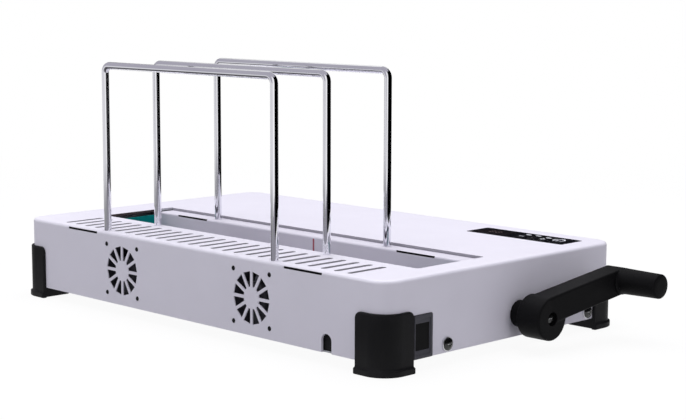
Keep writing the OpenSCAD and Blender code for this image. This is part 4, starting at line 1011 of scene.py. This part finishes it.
# %% [markdown]
# ## Fans
# Behind each grille turns a rotor with seven swept blades. A blade is a surface of radius and chord:
# its angle to the axis falls towards the tip and its edge sweeps round, which a flat plate can't
# show. The blade gets its thickness as a second layer of the same surface.


# %% Fan rotors
BLADES = 7


def blade(k, hub, tip, depth, front):
    """Point at radius r, chord c: angle = k pitch + sweep r^2 + c cos(twist) / r, height = c sin(twist)."""
    r = np.linspace(hub, tip, 12)[:, None]
    c = np.linspace(-1, 1, 11)[None, :]
    share = (r - hub) / (tip - hub)
    twist, chord = np.radians(58 - 26 * share), 8.6 + 1.5 * share
    layers = []
    for side in (0.55, -0.55):
        bulge = side * (1 - c ** 2) ** 0.5 + 0.9 * (1 - c ** 2)
        across = (c * chord * np.cos(twist) - bulge * np.sin(twist)) / r
        angle = k * 2 * math.pi / BLADES + 0.35 * share ** 2 + across
        height = front + depth / 2 + c * chord * np.sin(twist) * 0.86 + bulge * np.cos(twist)
        layers.append(np.stack([r * np.cos(angle), r * np.sin(angle), height], -1))
    return np.concatenate([layers[0], layers[1][:, -2:0:-1]], 1)


hub_profile = [(1.6, 3.2), (10.5, 3.0), (12.8, 3.6), (13.9, 5.2), (14, 20), (13, 20), (13, 12), (1.6, 12)]
for side, x in zip(("left", "right"), fan_spots):
    spot = wall_on(x, -DEEP / 2 + WALL, fan_height)
    rotor = Build().add(spun(hub_profile, 56), spot)
    for k in range(BLADES):
        rotor.add(blade(k, 13.2, 27.2, 17, 3), spot)
    rotor.piece("rotor_" + side, fan_black, "fan_rotor_" + side, "fan_plastic", ["fan_rotor_" + side])
print("blades:", BLADES * len(fan_spots))

# %% [markdown]
# ## Key panel
# The panel is a gloss plate with soft edges, a smoked window and four keys. Its signs are plain
# ones: a minus, a plus, a dot and the usual power sign. They're thin prints that ride on the keys.
# The window shows two noughts made of six bars each, and three small lamps lie beyond the keys.


# %% Panel, window and keys
top = drawn("panel_plate")[1][2]
window_mid = panel_mid[:2] - [36, 0]
plate = Build().add(stack(oblong(122, 34.4, 2, 8, panel_mid[:2]), soft_edge(top - 1.4, top, 0.1, 0.35)))
plate = plate.piece("key_panel", panel_gloss, "base", "panel_gloss", ["panel_plate"])
cuts = Build().add(stack(oblong(40.4, 22.4, 2, 6, window_mid), [(0, top - 0.7), (0, top + 1)]))
keys = {"key_minus": 5.0, "key_mode": 5.0, "key_plus": 5.0, "key_power": 7.6}
for key, r in keys.items():
    cuts.add(stack(circle(r + 0.3, 48, centre(key)[:2]), [(0, top - 3), (0, top + 1)]))
settle(cut(plate, cuts, 0.12), panel_gloss, "base")
glass = Build().add(stack(oblong(40, 22, 2, 8, window_mid), soft_edge(top - 0.7, top - 0.02, 0.05, 0.1)))
glass.piece("digit_window", window_smoke, "base", "window_smoke", ["display_window"])
for key, r in keys.items():
    low, high = drawn(key)[0][2], drawn(key)[1][2]
    mid = centre(key)[:2]
    dish = [(r * 0.6, high - 0.03), (r - 0.3, high - 0.08)]
    cap = Build().add(stack(circle(r, 56, mid), soft_edge(low + 4.2, high, 0.2, 0.5) + dish))
    cap.add(stack(circle(r + 1.2, 56, mid), soft_edge(low + 4.0, low + 5.0, 0.2, 0.2, 2)))
    cap.add(stack(circle(2.2, 24, mid), [(0.2, low), (0, low + 0.2), (0, low + 4.3)]))
    cap.piece(key + "_cap", key_gloss, key, "key_black", [key])
print("keys:", len(keys), "panel top:", round(float(top), 2))


# %% Signs
def printed(name, rings, body, finish, level):
    """A print 0.04 mm thick for each ring of points."""
    print_on = Build()
    for ring in rings:
        print_on.add(stack(ring, [(0, level - 0.02), (0, level + 0.03)]))
    return print_on.piece(name, finish, body)


def hoop(mid, r, width, gap, steps=40):
    """An open band at radius r; gap is its opening towards -Y, in radians."""
    t = np.linspace(gap / 2, 2 * math.pi - gap / 2, steps) - math.pi / 2
    arc = np.column_stack([np.cos(t), np.sin(t)])
    return np.vstack([(r + width / 2) * arc, (r - width / 2) * arc[::-1]]) + mid


mid = {key: centre(key)[:2] for key in keys}
# The signs use inks with a faint painted glow.
signs = {"sign_minus": ("key_minus", pale_ink_painted_glow, [oblong(6.4, 1.1, 0.3, 4, mid["key_minus"])]),
         "sign_plus": ("key_plus", pale_ink_painted_glow, [oblong(6.4, 1.1, 0.3, 4, mid["key_plus"]),
                                              oblong(1.1, 6.4, 0.3, 4, mid["key_plus"])]),
         "sign_mode": ("key_mode", dim_ink_painted_glow, [circle(0.7, 20, mid["key_mode"])]),
         "sign_power": ("key_power", pale_ink_painted_glow, [hoop(mid["key_power"], 5.7, 1.6, 1.2),
                                                oblong(1.6, 5.4, 0.5, 4, mid["key_power"] + [0, -3.6])])}
for name, (key, ink, rings) in signs.items():
    printed(name, rings, key, ink, drawn(key)[1][2] - 0.02)
bars = []
for shift in (-4.2, 4.2):
    for dx, dy, flat in ((0, 3.9, 1), (2, 2, 0), (2, -2, 0), (0, -3.9, 1), (-2, -2, 0), (-2, 2, 0)):
        bars.append(oblong(3.0 if flat else 0.8, 0.8 if flat else 3.0, 0.3, 3, window_mid + [shift + dx, dy]))
printed("window_digits", bars, "base", dim_ink_painted_glow, top - 0.02)
lamps = [oblong(6.4, 3.0, 1.45, 8, panel_mid[:2] + spot) for spot in ((0.5, 8.6), (12.0, 9.6), (27.1, 6.8))]
printed("panel_lamps", lamps, "base", pale_ink_painted_glow, top)
print("signs:", len(signs), "bars:", len(bars), "lamps:", len(lamps))

# %% [markdown]
# ## Power inlet
# The inlet is a moulded frame round a socket. The frame steps back twice towards the socket's mouth,
# and three flat pins stand in it. It's a soft-edged block with three cuts, and a thin dark seam of
# painted shade shows where it meets the wall. A black lining in the mouth is painted shade too.

# %% Inlet
socket_frame = end_on(LONG / 2, inlet_mid[1], inlet_mid[2])
inlet = Build().add(stack(oblong(38.6, 23.4, 0.9, 6), soft_edge(0, 1.6, 0.05, 0.3)), socket_frame)
inlet.add(stack(oblong(31, 20.6, 0.8, 6), soft_edge(-25, 0.8, 0.6, 0.1, 2)), socket_frame)
inlet = inlet.piece("inlet_frame", inlet_grey, "base", "inlet_plastic", ["power_inlet"])
finished(inlet, ("BOOLEAN", {"operation": "UNION", "solver": "EXACT", "use_self": True,
                             "operand_type": "COLLECTION", "collection": bpy.data.collections.new("none")}))
mouth_at = (0, -1.0)
for length, width, low, bevel in ((32.6, 19.4, 0.9, 0), (24.0, 17.6, -0.9, 0), (16.6, 16.0, -15.4, 0.2)):
    mouth = stack(oblong(length, width, 0.6, 5, mouth_at), [(0, low), (0, 4)])
    settle(cut(inlet, Build().add(mouth, socket_frame), bevel), inlet_grey, "base")
# Painted shade: a black lining for the dark depth of the socket's mouth.
lining = stack(oblong(16.5, 15.9, 0.5, 5, mouth_at), [(0.0, -15.3), (0.0, -1.0), (0.5, -1.0), (0.5, -14.8)])
Build().add(lining, socket_frame).piece("inlet_mouth_painted_shade", black_painted_shade, "base", "inlet_plastic")
# Painted shade: a thin black ring for the shaded gap round the inlet.
seam = stack(oblong(39.4, 24.2, 1.2, 6), [(0, 0.02), (0, 0.5)])
Build().add(seam, socket_frame).piece("inlet_gap_painted_shade", black_painted_shade, "base", "inlet_plastic")
pins = Build()
for v, u in ((-2, -7), (-2, 7), (2, 0)):
    pins.add(stack(oblong(2.0, 4.0, 0.5, 5, (u, v)), soft_edge(-15.4, -10.0, 0.05, 0.8)), socket_frame)
pins.piece("inlet_contacts", pin_metal, "base", "pin_metal", ["inlet_pins"])
print("inlet faces:", len(inlet.data.polygons))

# %% [markdown]
# ## Floor, backdrop and light
# The picture has a white ground, the top is bright and both walls are a soft grey. So one wide lamp
# hangs over the machine, a weak one stands off each wall and a low, even sky fills in. The camera
# and shiny surfaces see white where there is nothing.


# %% Floor
def level_sheet(name, x0, x1, y0, y1, z):
    """A level rectangle as points and one face."""
    return name, [(x0, y0, z), (x1, y0, z), (x1, y1, z), (x0, y1, z)], [(0, 1, 2, 3)]


def seen_white(name, colour, share):
    """Diffuse colour for light; camera and mirror rays see white mixed in by share, and fully 1.6 m away."""
    look = Look(name)
    camera_ray, glossy_ray, clear_ray = [look.node("ShaderNodeLightPath", out=f"Is {kind} Ray")
                                         for kind in ("Camera", "Glossy", "Transmission")]
    direct = camera_ray + glossy_ray + clear_ray
    seen = look.node("ShaderNodeMath", {"operation": "MINIMUM"}, {0: direct, 1: 1.0})
    pale = look.blend(colour, (0.96, 0.96, 0.96), camera_ray)
    cloud = look.blend(pale, colour, look.noise(400, 2) * 0.04)
    lit = look.node("ShaderNodeBsdfDiffuse", {}, {"Color": cloud})
    glow = look.node("ShaderNodeEmission", {}, {"Color": (1, 1, 1, 1), "Strength": 1.0})
    away = look.node("ShaderNodeVectorMath", {"operation": "LENGTH"}, {0: look.place}, out="Value")
    share = share + away.between(0.9, 1.6) * (1 - share)
    mixed = look.node("ShaderNodeMixShader", {}, {0: seen * share, 1: lit, 2: glow})
    look.node("ShaderNodeOutputMaterial", {}, {"Surface": mixed})
    return look.material


floor = placed(*level_sheet("floor", -14, 14, -14, 14, 0))
wear(floor, seen_white("floor_white", (0.42, 0.42, 0.43), 0.93))
floor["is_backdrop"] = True
print("floor:", floor.name)

# %% Sky
sky = Look("sky", bpy.data.worlds.new("sky"))
low_sky, white_sky = [sky.node("ShaderNodeBackground", {}, {"Color": colour, "Strength": strength})
                      for colour, strength in (((0.93, 0.92, 1.0, 1), 0.42), ((1, 1, 1, 1), 1.0))]
direct = sky.node("ShaderNodeMath", {"operation": "MAXIMUM"}, {
    k: sky.node("ShaderNodeLightPath", out=ray) for k, ray in enumerate(("Is Camera Ray", "Is Glossy Ray"))})
sky.node("ShaderNodeOutputWorld", {}, {"Surface": sky.node("ShaderNodeMixShader", {}, {
    0: direct, 1: low_sky, 2: white_sky})})
bpy.context.scene.world = sky.material


# %% Lamps
def lamp(name, spot, aim, size, watts, colour, in_shine=True):
    """A square area lamp at spot that faces aim; shiny surfaces may be kept from seeing it."""
    light = bpy.data.lights.new(name, "AREA")
    light.shape, light.size, light.energy, light.color = "SQUARE", size, watts, colour
    thing = bpy.data.objects.new(name, light)
    thing.location = spot
    thing.rotation_euler = (Vector(aim) - Vector(spot)).to_track_quat("-Z", "Y").to_euler()
    thing.visible_glossy = in_shine
    bpy.context.scene.collection.objects.link(thing)


lamp("lamp_over", (-0.2, 0.2, 2.2), (0, 0, 0), 2.0, 46.5, (0.98, 0.97, 1.0))
lamp("lamp_fan_side", (-1.2, -2.2, 1.2), (0, 0, 0.1), 1.4, 8, (0.98, 0.97, 1.0))
lamp("lamp_crank_side", (2.2, -0.6, 1.0), (0.2, 0, 0.05), 1.2, 6.0, (1.0, 0.98, 1.0), False)
print("lamps:", len(bpy.data.lights))

# %% [markdown]
# ## Cards for the chrome
# Chrome has no look of its own: it shows what stands round it. Each leg in the picture is light on the
# left and black on the right, so a black screen stood to the right of the machine. Curved cards round
# the machine do the same. They glow at a set level, and only shiny surfaces can see them.


# %% Cards
COOL, EVEN = np.array((1.0, 0.97, 1.1)), np.array((1.0, 0.999, 1.023))


def card(sheet, level, upper=None, shade=COOL):
    """A glowing sheet that only reflections see; its level turns to upper from 5 to 100 mm of height."""
    name = sheet[0]
    look = Look(name)
    low, high = [tuple(v * shade) for v in (level, level if upper is None else upper)]
    tone = look.blend(low, high, look.along(2).between(5, 100))
    tone = look.blend(tone, (0, 0, 0), look.noise(300, 1) * 0.06)
    glow = look.node("ShaderNodeEmission", {}, {"Color": tone, "Strength": 1.0})
    look.node("ShaderNodeOutputMaterial", {}, {"Surface": glow})
    thing = placed(*sheet)
    wear(thing, look.material)
    thing.visible_camera = thing.visible_diffuse = thing.visible_shadow = thing.visible_transmission = False
    thing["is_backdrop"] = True


def curve(name, start, stop, low, high, radius=0.8, steps=24):
    """Points (R cos t, R sin t, z) for t from start to stop degrees at two heights, and their faces."""
    t = np.radians(np.linspace(start, stop, steps))
    row = np.column_stack([radius * np.cos(t), radius * np.sin(t)])
    points = np.vstack([np.column_stack([row, np.full(steps, z)]) for z in (low, high)])
    k = np.arange(steps - 1)
    return name, points, np.column_stack([k, k + 1, k + 1 + steps, k + steps]).tolist()


card(curve("card_black_right", -40, 100, 0.0, 1.4), 0.0)
card(curve("card_black_back", 100, 165, 0.0, 0.5), 0.0)
card(curve("card_grey_low", -128, -78, 0.0, 0.25), 0.3, 0.78, EVEN)
card(curve("card_pale_low", -195, -128, 0.0, 0.25), 0.36, 0.8, EVEN)
card(curve("card_grey_high", -195, -78, 0.25, 1.3), 0.46)
card(level_sheet("card_ceiling", -1, 1, -1, 1, 1.4), 0.45)
card(level_sheet("card_floor", -0.9, 0.15, -0.55, -0.2, 0.002), 0.1)
card(level_sheet("card_floor_near", -0.9, 0.9, -1.0, -0.55, 0.002), 0.3)
card(level_sheet("card_floor_side", 0.15, 0.9, -0.55, -0.2, 0.002), 0.3)
view = bpy.context.scene.view_settings
view.view_transform = "Standard"

# %% [markdown] ## Last check How much the dressed machine's box differs from the model's box.

# %% Sizes and finish
bpy.context.view_layer.update()
seen_box = [list(corner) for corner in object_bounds()]
print("grown by, mm:", [round((v - c) * 1000, 2) for a, b in zip(seen_box, cad_box) for v, c in zip(a, b)])
